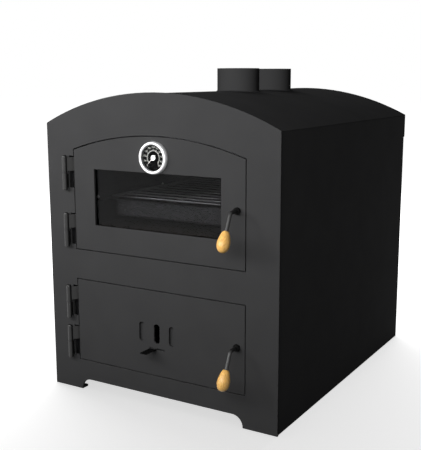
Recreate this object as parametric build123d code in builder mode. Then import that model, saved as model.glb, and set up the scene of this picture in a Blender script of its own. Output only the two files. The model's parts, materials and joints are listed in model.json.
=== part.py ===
"""A countertop wood-fired oven: an arched steel body with a firebox below an oven chamber.

The frame is +Z up, +X to the right of someone facing the doors and -Y towards them.
The origin is on the floor under the middle of the oven. Sizes are in millimetres.
A "depth" is measured back from the front plate's outer face.
"""

import os
from math import cos, radians, sin, sqrt

from build123d import *

os.makedirs("parts", exist_ok=True)

# Body
WIDTH = 600.0
BODY_DEPTH = 768.0
CORNER_HEIGHT = 630.0
APEX_HEIGHT = 701.0
FRONT_Y = -349.0
PLATE = 5.0
SHEET = 2.0
GAP = 0.5
ARC_RISE = APEX_HEIGHT - CORNER_HEIGHT
FRONT_ARC = ((WIDTH / 2) ** 2 + ARC_RISE**2) / (2 * ARC_RISE)
ARC_Z = APEX_HEIGHT - FRONT_ARC
BODY_HALF = WIDTH / 2 - SHEET
ROOF_ARC = FRONT_ARC - SHEET
REAR_DEPTH = BODY_DEPTH - SHEET

# Feet
FOOT_INNER = 217.5
FOOT_HEIGHT = 26.5
FOOT_RADIUS = 25.0
TAB_DEPTH = 20.0
FLOOR_FLANGE = 22.0
ROOF_FLANGE = 16.0
REAR_FLANGE = 18.0
PROUD_BOTTOM = 570.0
BASE_Z = 30.0

# Doors
DOOR_HALF = 222.0
DOOR_GAP = 2.0
UPPER_BOTTOM = 342.5
UPPER_CORNER = 571.0
UPPER_APEX = 608.0
LOWER_BOTTOM = 75.0
LOWER_TOP = 269.5
WINDOW_HALF = 165.0
WINDOW_BOTTOM = 402.0
WINDOW_TOP = 530.0

# Hinges
HINGE_X = -242.0
HINGE_DEPTH = -10.0
BARREL_RADIUS = 5.5
PIN_RADIUS = 3.0
RUNNING_FIT = 0.05
HINGE_HALF = 40.0
UPPER_HINGES = (519.0, 387.0)
LOWER_HINGES = (215.5, 118.5)
NOTCH_LEFT = -237.0
NOTCH_BELOW = 35.0
NOTCH_ABOVE = 38.0

# Smoke jacket, oven chamber and firebox
JACKET_HALF = 262.0
JACKET_ARC = 632.0
JACKET_BACK = 730.0
CHAMBER_HALF = 200.0
CHAMBER_FLOOR = 368.0
CHAMBER_ARC = 565.0
CHAMBER_BACK = 620.0
MOUTH_HALF = 247.0
APERTURE_HALF = 178.0
APERTURE_BOTTOM = 372.0
APERTURE_ARC = 553.0
LIP_DEPTH = 24.0
FIRE_FLOOR = 90.0
FIRE_TOP = 255.0
BRICK = 30.0
BAFFLE_BOTTOM = 300.0
BAFFLE_TOP = 322.0

# Flues
FLUE_BORE = 50.0
FLUE_TOP = 753.5
FLUE_DEPTHS = {"vent_pipe": 368.0, "smoke_flue": 549.0}
FLUE_ENDS = {"vent_pipe": 592.0, "smoke_flue": 655.0}
WELD_GAP = 0.4

# Door seals
SEAL_HALF = 187.0
SEAL_CORNER = 14.0
ROPE_HALF = 4.5
ROPE_BACK = 23.7
CHANNEL_INNER = 4.7
CHANNEL_OUTER = 6.2
CHANNEL_DEPTH = 18.0
CHANNEL_SHEET = 1.5

# Handles
HANDLE_X = 204.0
UPPER_HANDLE_Z = 466.0
LOWER_HANDLE_Z = 177.0
ROD_RADIUS = 4.0
ELBOW_DEPTH = -29.0
ELBOW_RADIUS = 10.0
LEAN = radians(25.5)
HANDLE_DROP = 84.5
KNOB_LENGTH = 47.5
KNOB_RADIUS = 13.5

# Thermometer
DIAL_Z = 563.5
BEZEL_RADIUS = 35.0
BEZEL_DEPTH = 10.0
DIAL_RADIUS = 28.3
STEM_END = 75.0

# Air slider
SLOT_WIDTH = 15.0
SLOT_BOTTOM = 149.0
SLOT_TOP = 194.0
SLOT_PITCH = 40.0
SLIDER_TRAVEL = 20.0
TAB_Z = 136.0

# Rack, tray and pan
RAIL_TOP = 454.5
RACK_Z = 461.0
RACK_FRONT = 77.0
WIRE_PITCH = 36.5
WIRE_COUNT = 14
TRAY_FRONT = 60.0
TRAY_BOTTOM = 417.0


def facing_front(depth):
    """Upright plane parallel to the front, whose local y is the height."""
    return Plane.XZ.offset(-(FRONT_Y + depth))


def facing_side(x):
    """Upright plane across the oven, whose local x is Y and local y is the height."""
    return Plane.YZ.offset(x)


def arched(half_width, bottom, corner, apex):
    """Outline with straight sides under one arc."""
    with BuildSketch() as outline:
        with BuildLine():
            Polyline((-half_width, corner), (-half_width, bottom), (half_width, bottom), (half_width, corner))
            ThreePointArc((half_width, corner), (0, apex), (-half_width, corner))
        make_face()
    return outline.sketch


def vaulted(half_width, bottom, radius):
    """Outline with straight sides under an arc concentric with the front's."""
    corner = ARC_Z + sqrt(radius**2 - half_width**2)
    return arched(half_width, bottom, corner, ARC_Z + radius)


def plan(half_width, depth):
    """Rectangle seen from above, from the front face back to a depth."""
    with BuildSketch() as outline:
        with Locations((0, FRONT_Y + depth / 2)):
            Rectangle(2 * half_width, depth)
    return outline.sketch


def block(half_width, bottom, top):
    """Rectangle about the middle of the oven, from one height to another."""
    with BuildSketch() as outline:
        with Locations((0, (bottom + top) / 2)):
            Rectangle(2 * half_width, top - bottom)
    return outline.sketch


# Outlines that the front plate and the doors share
upper_opening = arched(
    DOOR_HALF + DOOR_GAP, UPPER_BOTTOM - DOOR_GAP, UPPER_CORNER + DOOR_GAP, UPPER_APEX + DOOR_GAP
)
lower_opening = block(DOOR_HALF + DOOR_GAP, LOWER_BOTTOM - DOOR_GAP, LOWER_TOP + DOOR_GAP)
with BuildSketch() as foot_notch:
    Rectangle(2 * FOOT_INNER, 2 * FOOT_HEIGHT)
    fillet(foot_notch.vertices().group_by(Axis.Y)[-1], FOOT_RADIUS)

# Front plate: openings, hinge notches, feet and the tabs bent back from the feet
notch_width = -DOOR_HALF - NOTCH_LEFT
notch_height = NOTCH_BELOW + NOTCH_ABOVE
notch_places = [
    (NOTCH_LEFT + notch_width / 2, middle + (NOTCH_ABOVE - NOTCH_BELOW) / 2)
    for middle in UPPER_HINGES + LOWER_HINGES
]
tab_width = BODY_HALF - SHEET - GAP - FOOT_INNER
with BuildPart() as front_plate:
    with BuildSketch(facing_front(0)):
        add(arched(WIDTH / 2, 0, CORNER_HEIGHT, APEX_HEIGHT))
        add(upper_opening, mode=Mode.SUBTRACT)
        add(lower_opening, mode=Mode.SUBTRACT)
        add(foot_notch.sketch, mode=Mode.SUBTRACT)
        with Locations(*notch_places):
            Rectangle(notch_width, notch_height, mode=Mode.SUBTRACT)
    extrude(amount=-PLATE)
    with BuildSketch(facing_front(0)):
        with Locations((-FOOT_INNER - tab_width / 2, PLATE / 2), (FOOT_INNER + tab_width / 2, PLATE / 2)):
            Rectangle(tab_width, PLATE)
    extrude(amount=-TAB_DEPTH)
front_plate.part.label = "front_plate"
export_step(front_plate.part, "parts/front_plate.step")

# Screws that hold the rear panel to the flanges of the side panels
SCREW_HEIGHTS = (60.0, 230.0, 400.0, 550.0)
SCREW_X = 288.0
SCREW_RADIUS = 2.0
SCREW_HOLE = 2.1
SCREW_LENGTH = 10.0
screw_places = [(x, z) for x in (-SCREW_X, SCREW_X) for z in SCREW_HEIGHTS]

# Side panels: a sheet with a floor flange, a rear flange and a flange under the roof
sheet_inner = BODY_HALF - SHEET
under_roof = ROOF_ARC - SHEET
with BuildSketch() as roof_flange:
    with Locations((0, ARC_Z)):
        Circle(under_roof)
        Circle(under_roof - SHEET, mode=Mode.SUBTRACT)
    with Locations((sheet_inner - ROOF_FLANGE / 2, CORNER_HEIGHT)):
        Rectangle(ROOF_FLANGE + GAP, 2 * ARC_RISE, mode=Mode.INTERSECT)
with BuildPart() as right_side_panel:
    with BuildSketch(facing_front(PLATE)):
        with BuildLine():
            Polyline(
                (sheet_inner, 0),
                (BODY_HALF, 0),
                (BODY_HALF, ARC_Z + sqrt(under_roof**2 - BODY_HALF**2)),
                (sheet_inner, ARC_Z + sqrt(under_roof**2 - sheet_inner**2)),
                close=True,
            )
        make_face()
        add(roof_flange.sketch)
    extrude(amount=-(REAR_DEPTH - PLATE))
    with BuildSketch(facing_front(TAB_DEPTH + GAP)):
        with Locations((BODY_HALF - FLOOR_FLANGE / 2, SHEET / 2)):
            Rectangle(FLOOR_FLANGE, SHEET)
    extrude(amount=-(REAR_DEPTH - TAB_DEPTH - GAP))
    with BuildSketch(facing_front(REAR_DEPTH - SHEET)):
        with Locations((BODY_HALF - REAR_FLANGE / 2, PROUD_BOTTOM / 2)):
            Rectangle(REAR_FLANGE, PROUD_BOTTOM)
    extrude(amount=-SHEET)
    with Locations(facing_front(REAR_DEPTH)):
        with Locations(*[(SCREW_X, z) for z in SCREW_HEIGHTS]):
            Cylinder(SCREW_HOLE, 3 * SHEET, mode=Mode.SUBTRACT)
right_side_panel.part.label = "right_side_panel"
export_step(right_side_panel.part, "parts/right_side_panel.step")
with BuildPart() as left_side_panel:
    mirror(right_side_panel.part, about=Plane.YZ)
left_side_panel.part.label = "left_side_panel"
export_step(left_side_panel.part, "parts/left_side_panel.step")

# Roof: rolled sheet with two flue holes
flue_places = [(0, FRONT_Y + depth) for depth in FLUE_DEPTHS.values()]
with BuildPart() as roof_sheet:
    with BuildSketch(facing_front(PLATE)):
        add(vaulted(BODY_HALF, CORNER_HEIGHT - ARC_RISE, ROOF_ARC))
        add(vaulted(BODY_HALF + SHEET, 0, under_roof), mode=Mode.SUBTRACT)
    extrude(amount=-(REAR_DEPTH - PLATE))
    with BuildSketch(Plane.XY.offset(APEX_HEIGHT)):
        with Locations(*flue_places):
            Circle(FLUE_BORE + SHEET + WELD_GAP)
    extrude(amount=-ARC_RISE, mode=Mode.SUBTRACT)
roof_sheet.part.label = "roof_sheet"
export_step(roof_sheet.part, "parts/roof_sheet.step")

# Rear panel: proud of the body round the arch, as wide as the body below
with BuildPart() as rear_panel:
    with BuildSketch(facing_front(REAR_DEPTH)):
        add(arched(WIDTH / 2, PROUD_BOTTOM, CORNER_HEIGHT, APEX_HEIGHT))
        add(block(BODY_HALF, 0, PROUD_BOTTOM))
        add(foot_notch.sketch, mode=Mode.SUBTRACT)
        with Locations(*screw_places):
            Circle(SCREW_HOLE, mode=Mode.SUBTRACT)
    extrude(amount=-SHEET)
rear_panel.part.label = "rear_panel"
export_step(rear_panel.part, "parts/rear_panel.step")

SCREW_HEAD = 4.2
HEAD_HEIGHT = 2.4
with BuildPart() as rear_panel_screws:
    with BuildSketch(facing_front(BODY_DEPTH)):
        with Locations(*screw_places):
            Circle(SCREW_HEAD)
    extrude(amount=-HEAD_HEIGHT)
    fillet(rear_panel_screws.edges().group_by(Axis.Y)[-1], HEAD_HEIGHT / 2)
    with BuildSketch(facing_front(BODY_DEPTH)):
        with Locations(*screw_places):
            Circle(SCREW_RADIUS)
    extrude(amount=SCREW_LENGTH)
rear_panel_screws.part.label = "rear_panel_screws"
export_step(rear_panel_screws.part, "parts/rear_panel_screws.step")

# Base plate above the feet
flange_front = REAR_DEPTH - SHEET - GAP
with BuildPart() as base_plate:
    with BuildSketch(facing_front(PLATE)):
        add(block(sheet_inner, BASE_Z, BASE_Z + SHEET))
    extrude(amount=-(flange_front - PLATE))
base_plate.part.label = "base_plate"
export_step(base_plate.part, "parts/base_plate.step")

# Smoke jacket: the inner casing that smoke rises in, open at the front and on the base plate.
# Its two walls, its rolled top and its rear sheet are welded together across small gaps.
inside_base = BASE_Z + SHEET
jacket_seam = ARC_Z + sqrt((JACKET_ARC - SHEET) ** 2 - (JACKET_HALF - SHEET) ** 2) - WELD_GAP
jacket_rear_seam = JACKET_BACK - SHEET - WELD_GAP
with BuildPart() as smoke_jacket:
    with BuildSketch(facing_front(PLATE)):
        add(vaulted(JACKET_HALF, inside_base, JACKET_ARC))
    extrude(amount=-(JACKET_BACK - PLATE))
    with BuildSketch(facing_front(PLATE)):
        add(vaulted(JACKET_HALF - SHEET, 0, JACKET_ARC - SHEET))
    extrude(amount=-(JACKET_BACK - SHEET - PLATE), mode=Mode.SUBTRACT)
    with BuildSketch(Plane.XY.offset(APEX_HEIGHT)):
        with Locations(*flue_places):
            Circle(FLUE_BORE + SHEET + WELD_GAP)
    extrude(amount=-(APEX_HEIGHT - CHAMBER_FLOOR), mode=Mode.SUBTRACT)
    with BuildSketch(Plane.XY.offset(jacket_seam)):
        add(plan(BODY_HALF, jacket_rear_seam))
    extrude(amount=WELD_GAP, mode=Mode.SUBTRACT)
    with BuildSketch(facing_front(jacket_rear_seam)):
        add(block(BODY_HALF, 0, APEX_HEIGHT))
    extrude(amount=-WELD_GAP, mode=Mode.SUBTRACT)
smoke_jacket.part.label = "smoke_jacket"
export_step(smoke_jacket.part, "parts/smoke_jacket.step")

# Insulation between the outer casing and the jacket, and under the firebox
wool_front = PLATE + GAP
wool_bottom = inside_base + GAP
SIDE_WOOL_TOP = 605.0
with BuildPart() as side_insulation:
    with BuildSketch(facing_front(wool_front)):
        add(block(sheet_inner - GAP, wool_bottom, SIDE_WOOL_TOP))
        add(block(JACKET_HALF + GAP, 0, APEX_HEIGHT), mode=Mode.SUBTRACT)
    extrude(amount=-(BODY_DEPTH - SCREW_LENGTH - GAP - wool_front))
side_insulation.part.label = "side_insulation"
export_step(side_insulation.part, "parts/side_insulation.step")

with BuildPart() as roof_insulation:
    with BuildSketch(facing_front(wool_front)):
        add(vaulted(JACKET_HALF, SIDE_WOOL_TOP, under_roof - SHEET - GAP))
        add(vaulted(JACKET_HALF + SHEET, 0, JACKET_ARC + GAP), mode=Mode.SUBTRACT)
    extrude(amount=-(JACKET_BACK - wool_front))
    with BuildSketch(Plane.XY.offset(APEX_HEIGHT)):
        with Locations(*flue_places):
            Circle(FLUE_BORE + SHEET + GAP)
    extrude(amount=-2 * ARC_RISE, mode=Mode.SUBTRACT)
roof_insulation.part.label = "roof_insulation"
export_step(roof_insulation.part, "parts/roof_insulation.step")

with BuildPart() as rear_insulation:
    with BuildSketch(facing_front(JACKET_BACK + GAP)):
        add(vaulted(JACKET_HALF, wool_bottom, JACKET_ARC))
    extrude(amount=-(flange_front - JACKET_BACK - 2 * GAP))
rear_insulation.part.label = "rear_insulation"
export_step(rear_insulation.part, "parts/rear_insulation.step")

lip_back = LIP_DEPTH + SHEET
inside_jacket = JACKET_HALF - SHEET - GAP
jacket_rear = JACKET_BACK - SHEET - GAP
with BuildPart() as base_insulation:
    with BuildSketch(facing_front(lip_back + GAP)):
        add(block(inside_jacket, wool_bottom, FIRE_FLOOR - SHEET - GAP))
    extrude(amount=-(jacket_rear - lip_back - GAP))
base_insulation.part.label = "base_insulation"
export_step(base_insulation.part, "parts/base_insulation.step")

# Flues: the front one vents the oven chamber, the rear one takes the smoke
for name, depth in FLUE_DEPTHS.items():
    with BuildPart() as flue:
        with BuildSketch(Plane.XY.offset(FLUE_ENDS[name])):
            with Locations((0, FRONT_Y + depth)):
                Circle(FLUE_BORE + SHEET)
                Circle(FLUE_BORE, mode=Mode.SUBTRACT)
        extrude(amount=FLUE_TOP - FLUE_ENDS[name])
    flue.part.label = name
    export_step(flue.part, f"parts/{name}.step")

# Mouth frames: a boxed reveal behind each door opening with a lip that the door's rope closes on
UPPER_MOUTH_BOTTOM = 326.0
UPPER_MOUTH_ARC = 600.0
LOWER_MOUTH_BOTTOM = 55.0
LOWER_MOUTH_TOP = 290.0
mouths = {
    "upper_mouth_frame": (
        vaulted(MOUTH_HALF, UPPER_MOUTH_BOTTOM, UPPER_MOUTH_ARC),
        vaulted(MOUTH_HALF - SHEET, UPPER_MOUTH_BOTTOM + SHEET, UPPER_MOUTH_ARC - SHEET),
        vaulted(APERTURE_HALF, APERTURE_BOTTOM, APERTURE_ARC),
    ),
    "lower_mouth_frame": (
        block(MOUTH_HALF, LOWER_MOUTH_BOTTOM, LOWER_MOUTH_TOP),
        block(MOUTH_HALF - SHEET, LOWER_MOUTH_BOTTOM + SHEET, LOWER_MOUTH_TOP - SHEET),
        block(APERTURE_HALF, FIRE_FLOOR, FIRE_TOP),
    ),
}
for name, (outside, inside, aperture) in mouths.items():
    with BuildPart() as mouth_frame:
        with BuildSketch(facing_front(PLATE)):
            add(outside)
            add(inside, mode=Mode.SUBTRACT)
        extrude(amount=-(LIP_DEPTH - PLATE))
        with BuildSketch(facing_front(LIP_DEPTH)):
            add(outside)
            add(aperture, mode=Mode.SUBTRACT)
        extrude(amount=-SHEET)
    mouth_frame.part.label = name
    export_step(mouth_frame.part, f"parts/{name}.step")

# Rail bolts and the holes that they share
BOLT_Z = 458.5
BOLT_RADIUS = 3.0
BOLT_HOLE = 3.1
BOLT_HEAD = 4.0
BOLT_HEAD_HEIGHT = 3.0
BOLT_DEPTHS = (54.5, 320.0, 585.0)
bolt_places = [(FRONT_Y + depth, BOLT_Z) for depth in BOLT_DEPTHS]

# Oven chamber: a vaulted muffle, closed at the back, on two feet that stand on the baffle.
# Floor, walls, vault, rear sheet and feet are welded together across small gaps.
FOOT_X = 130.0
FOOT_WIDTH = 60.0
FOOT_DEPTH = 560.0
chamber_seam = ARC_Z + sqrt(CHAMBER_ARC**2 - CHAMBER_HALF**2) - WELD_GAP
chamber_rear_seam = CHAMBER_BACK - SHEET - WELD_GAP
with BuildPart() as oven_chamber:
    with BuildSketch(facing_front(lip_back)):
        add(vaulted(CHAMBER_HALF + SHEET, CHAMBER_FLOOR - SHEET, CHAMBER_ARC + SHEET))
    extrude(amount=-(CHAMBER_BACK - lip_back))
    with BuildSketch(facing_front(FOOT_DEPTH)):
        with Locations(*[(x, (BAFFLE_TOP + CHAMBER_FLOOR) / 2) for x in (-FOOT_X, FOOT_X)]):
            Rectangle(FOOT_WIDTH, CHAMBER_FLOOR - BAFFLE_TOP)
    extrude(amount=-SHEET)
    with BuildSketch(facing_front(lip_back)):
        add(vaulted(CHAMBER_HALF, CHAMBER_FLOOR, CHAMBER_ARC))
    extrude(amount=-(CHAMBER_BACK - SHEET - lip_back), mode=Mode.SUBTRACT)
    with BuildSketch(Plane.XY.offset(APEX_HEIGHT)):
        with Locations((0, FRONT_Y + FLUE_DEPTHS["vent_pipe"])):
            Circle(FLUE_BORE + SHEET + WELD_GAP)
    extrude(amount=-2 * ARC_RISE, mode=Mode.SUBTRACT)
    with BuildSketch(facing_side(0)):
        with Locations(*bolt_places):
            Circle(BOLT_HOLE)
    extrude(amount=CHAMBER_HALF + 2 * SHEET, both=True, mode=Mode.SUBTRACT)
    for seam, depth in (
        (chamber_seam, chamber_rear_seam),
        (CHAMBER_FLOOR, chamber_rear_seam),
        (CHAMBER_FLOOR - SHEET - WELD_GAP, CHAMBER_BACK),
    ):
        with BuildSketch(Plane.XY.offset(seam)):
            add(plan(BODY_HALF, depth))
        extrude(amount=WELD_GAP, mode=Mode.SUBTRACT)
    with BuildSketch(facing_front(chamber_rear_seam)):
        add(block(BODY_HALF, CHAMBER_FLOOR - SHEET, APEX_HEIGHT))
    extrude(amount=-WELD_GAP, mode=Mode.SUBTRACT)
oven_chamber.part.label = "oven_chamber"
export_step(oven_chamber.part, "parts/oven_chamber.step")

# Brick floor of the oven: two columns of three tiles
TILE_ROWS = 3
tile_width = CHAMBER_HALF - 2 * GAP
tile_pitch = (CHAMBER_BACK - SHEET - lip_back - 2 * GAP) / TILE_ROWS
floor_middle = FRONT_Y + (lip_back + CHAMBER_BACK - SHEET) / 2
with BuildPart() as oven_floor_bricks:
    with BuildSketch(Plane.XY.offset(CHAMBER_FLOOR)):
        with Locations((0, floor_middle)):
            with GridLocations(tile_width + GAP, tile_pitch, 2, TILE_ROWS):
                Rectangle(tile_width, tile_pitch - 2 * GAP)
    extrude(amount=BRICK)
    chamfer(oven_floor_bricks.edges().group_by(Axis.Z)[-1], 2 * GAP)
oven_floor_bricks.part.label = "oven_floor_bricks"
export_step(oven_floor_bricks.part, "parts/oven_floor_bricks.step")

# Rails that carry the tray: angles bolted to the chamber's walls
RAIL_INNER = 168.0
RAIL_LEG = 466.0
RAIL_FRONT = 36.0
RAIL_BACK = 600.0
with BuildPart() as rack_rails:
    with BuildSketch(facing_front(RAIL_FRONT)):
        with Locations((0, RAIL_TOP - SHEET / 2)):
            Rectangle(2 * CHAMBER_HALF, SHEET)
        add(block(CHAMBER_HALF, RAIL_TOP - SHEET, RAIL_LEG))
        add(block(CHAMBER_HALF - SHEET, RAIL_TOP, RAIL_LEG), mode=Mode.SUBTRACT)
        add(block(RAIL_INNER, 0, RAIL_TOP), mode=Mode.SUBTRACT)
    extrude(amount=-(RAIL_BACK - RAIL_FRONT))
    with BuildSketch(facing_side(0)):
        with Locations(*bolt_places):
            Circle(BOLT_HOLE)
    extrude(amount=CHAMBER_HALF + SHEET, both=True, mode=Mode.SUBTRACT)
rack_rails.part.label = "rack_rails"
export_step(rack_rails.part, "parts/rack_rails.step")

with BuildPart() as rail_bolts:
    for side in (-1, 1):
        head_plane = facing_side(side * (CHAMBER_HALF - SHEET))
        with BuildSketch(head_plane):
            with Locations(*bolt_places):
                Circle(BOLT_HEAD)
        extrude(amount=-side * BOLT_HEAD_HEIGHT)
        with BuildSketch(head_plane):
            with Locations(*bolt_places):
                Circle(BOLT_RADIUS)
        extrude(amount=side * 4 * SHEET)
    inner_edges = rail_bolts.edges().filter_by(GeomType.CIRCLE).sort_by(lambda edge: abs(edge.center().X))
    fillet(inner_edges[: 2 * len(bolt_places)], BOLT_HEAD_HEIGHT / 2)
rail_bolts.part.label = "rail_bolts"
export_step(rail_bolts.part, "parts/rail_bolts.step")

# Firebox: floor plate, brick lining, cast grate and the baffle under the oven chamber
with BuildPart() as firebox_floor:
    with BuildSketch(facing_front(lip_back)):
        add(block(inside_jacket, FIRE_FLOOR - SHEET, FIRE_FLOOR))
    extrude(amount=-(jacket_rear - lip_back))
firebox_floor.part.label = "firebox_floor"
export_step(firebox_floor.part, "parts/firebox_floor.step")

BRICK_ROWS = 3
KERB_INNER = 192.0
KERB_TOP = 116.0
GRATE_FRONT = 60.0
GRATE_BACK = 560.0
GRATE_HALF = 215.0
GRATE_THICKNESS = 10.0
lining_front = lip_back + GAP
lining_back = jacket_rear - BRICK - 2 * GAP
lining_pitch = (lining_back - lining_front) / BRICK_ROWS
lining_middle = FRONT_Y + (lining_front + lining_back) / 2
kerb_width = inside_jacket - BRICK - GAP - KERB_INNER
kerb_middle = KERB_INNER + kerb_width / 2
grate_middle = FRONT_Y + (GRATE_FRONT + GRATE_BACK) / 2
with BuildPart() as firebox_bricks:
    with BuildSketch(Plane.XY.offset(FIRE_FLOOR)):
        with Locations((0, lining_middle)):
            with GridLocations(2 * inside_jacket - BRICK, lining_pitch, 2, BRICK_ROWS):
                Rectangle(BRICK, lining_pitch - GAP)
        with Locations((0, FRONT_Y + jacket_rear - BRICK / 2)):
            with GridLocations(inside_jacket, 0, 2, 1):
                Rectangle(inside_jacket - GAP, BRICK)
    extrude(amount=BAFFLE_BOTTOM - FIRE_FLOOR)
    with BuildSketch(Plane.XY.offset(FIRE_FLOOR)):
        with Locations((0, grate_middle)):
            with GridLocations(2 * kerb_middle, (GRATE_BACK - GRATE_FRONT) / 2, 2, 2):
                Rectangle(kerb_width, (GRATE_BACK - GRATE_FRONT) / 2 - GAP)
    extrude(amount=KERB_TOP - FIRE_FLOOR)
firebox_bricks.part.label = "firebox_bricks"
export_step(firebox_bricks.part, "parts/firebox_bricks.step")

GRATE_SLOTS = 13
GRATE_SLOT_WIDTH = 14.0
GRATE_PITCH = 29.0
with BuildPart() as fire_grate:
    with BuildSketch(Plane.XY.offset(KERB_TOP)):
        with Locations((0, grate_middle)):
            Rectangle(2 * GRATE_HALF, GRATE_BACK - GRATE_FRONT)
            with GridLocations(GRATE_PITCH, (GRATE_BACK - GRATE_FRONT) / 2, GRATE_SLOTS, 2):
                slot_length = (GRATE_BACK - GRATE_FRONT) / 2 - GRATE_PITCH
                SlotOverall(slot_length, GRATE_SLOT_WIDTH, rotation=90, mode=Mode.SUBTRACT)
    extrude(amount=GRATE_THICKNESS)
fire_grate.part.label = "fire_grate"
export_step(fire_grate.part, "parts/fire_grate.step")

BAFFLE_FRONT = 30.0
BAFFLE_BACK = 600.0
with BuildPart() as flame_baffle:
    with BuildSketch(facing_front(BAFFLE_FRONT)):
        add(block(inside_jacket, BAFFLE_BOTTOM, BAFFLE_TOP))
    extrude(amount=-(BAFFLE_BACK - BAFFLE_FRONT))
flame_baffle.part.label = "flame_baffle"
export_step(flame_baffle.part, "parts/flame_baffle.step")

# Hinges: the lower half of each barrel is on the front plate and holds the pin
WASHER_HALF = 1.0
WASHER_RADIUS = 5.8
PIN_INSET = 4.0
WEB_WIDTH = 5.0
BARREL_ROUND = 2.0
hinge_y = FRONT_Y + HINGE_DEPTH
all_hinges = UPPER_HINGES + LOWER_HINGES
with BuildPart() as frame_knuckles:
    for middle in all_hinges:
        with BuildSketch(Plane.XY.offset(middle - HINGE_HALF)):
            with Locations((HINGE_X, hinge_y)):
                Circle(BARREL_RADIUS)
        extrude(amount=HINGE_HALF - WASHER_HALF)
    fillet(
        [
            edge
            for edge in frame_knuckles.edges().filter_by(GeomType.CIRCLE)
            if any(abs(edge.center().Z - middle + HINGE_HALF) < GAP for middle in all_hinges)
        ],
        BARREL_ROUND,
    )
    for middle in all_hinges:
        with BuildSketch(Plane.XY.offset(middle - HINGE_HALF + PIN_INSET)):
            with Locations((HINGE_X, hinge_y / 2 + FRONT_Y / 2)):
                Rectangle(WEB_WIDTH, -HINGE_DEPTH)
        extrude(amount=HINGE_HALF - 2 * PIN_INSET)
    for middle in all_hinges:
        with BuildSketch(Plane.XY.offset(middle - HINGE_HALF + PIN_INSET)):
            with Locations((HINGE_X, hinge_y)):
                Circle(PIN_RADIUS)
        extrude(amount=HINGE_HALF, mode=Mode.SUBTRACT)
frame_knuckles.part.label = "frame_knuckles"
export_step(frame_knuckles.part, "parts/frame_knuckles.step")

with BuildPart() as hinge_pins:
    for middle in all_hinges:
        with BuildSketch(Plane.XY.offset(middle - HINGE_HALF + PIN_INSET)):
            with Locations((HINGE_X, hinge_y)):
                Circle(PIN_RADIUS)
        extrude(amount=2 * (HINGE_HALF - PIN_INSET) - PIN_INSET)
hinge_pins.part.label = "hinge_pins"
export_step(hinge_pins.part, "parts/hinge_pins.step")

with BuildPart() as hinge_washers:
    for middle in all_hinges:
        with BuildSketch(Plane.XY.offset(middle - WASHER_HALF)):
            with Locations((HINGE_X, hinge_y)):
                Circle(WASHER_RADIUS)
                Circle(PIN_RADIUS + RUNNING_FIT, mode=Mode.SUBTRACT)
        extrude(amount=2 * WASHER_HALF)
hinge_washers.part.label = "hinge_washers"
export_step(hinge_washers.part, "parts/hinge_washers.step")


def door_knuckles(middles):
    """Upper halves of two hinges, each with a strap bent through its notch to the door's back."""
    strap = 3.0
    strap_end = -196.0
    bend_x = -229.0
    strap_bottom = 3.0
    strap_height = 32.0
    barrel_bottom = WASHER_HALF + 0.3
    dome = 4.0
    back = FRONT_Y + PLATE
    with BuildPart() as knuckles:
        for middle in middles:
            with BuildSketch(Plane.XY.offset(middle + barrel_bottom)):
                with Locations((HINGE_X, hinge_y)):
                    Circle(BARREL_RADIUS)
            extrude(amount=HINGE_HALF - barrel_bottom)
        tops = [
            edge
            for edge in knuckles.edges().filter_by(GeomType.CIRCLE)
            if any(abs(edge.center().Z - middle - HINGE_HALF) < GAP for middle in middles)
        ]
        fillet(tops, dome)
        for middle in middles:
            with BuildSketch(Plane.XY.offset(middle + strap_bottom)):
                with BuildLine() as middle_line:
                    Polyline(
                        (HINGE_X, hinge_y),
                        (bend_x, back + strap / 2),
                        (strap_end, back + strap / 2),
                    )
                trace(middle_line.edges(), line_width=strap)
                with Locations((HINGE_X, back + strap)):
                    Rectangle(2 * (HINGE_X - strap_end), strap, align=(Align.CENTER, Align.MIN), mode=Mode.SUBTRACT)
            extrude(amount=strap_height)
        for middle in middles:
            with BuildSketch(Plane.XY.offset(middle)):
                with Locations((HINGE_X, hinge_y)):
                    Circle(PIN_RADIUS + RUNNING_FIT)
            extrude(amount=HINGE_HALF - dome, mode=Mode.SUBTRACT)
    return knuckles


# Door knuckles and the parts that both doors have alike
DOOR_DECKS = {
    "upper": (UPPER_HINGES, UPPER_HANDLE_Z, 363.0, 559.0),
    "lower": (LOWER_HINGES, LOWER_HANDLE_Z, 84.0, 261.0),
}
for deck, (middles, handle_z, seal_bottom, seal_top) in DOOR_DECKS.items():
    knuckles = door_knuckles(middles)
    knuckles.part.label = f"{deck}_door_knuckles"
    export_step(knuckles.part, f"parts/{deck}_door_knuckles.step")


def seal_outline(deck, grow):
    """Rounded outline of a door's seal, grown or shrunk about its middle line."""
    bottom, top = DOOR_DECKS[deck][2:]
    if deck == "upper":
        face = vaulted(SEAL_HALF + grow, bottom - grow, top + grow)
    else:
        face = block(SEAL_HALF + grow, bottom - grow, top + grow)
    with BuildSketch() as outline:
        add(face)
        fillet(outline.vertices(), SEAL_CORNER + grow)
    return outline.sketch


def ring(deck, outer, inner):
    """Band between two outlines of a door's seal."""
    with BuildSketch() as band:
        add(seal_outline(deck, outer))
        add(seal_outline(deck, inner), mode=Mode.SUBTRACT)
    return band.sketch


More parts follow.
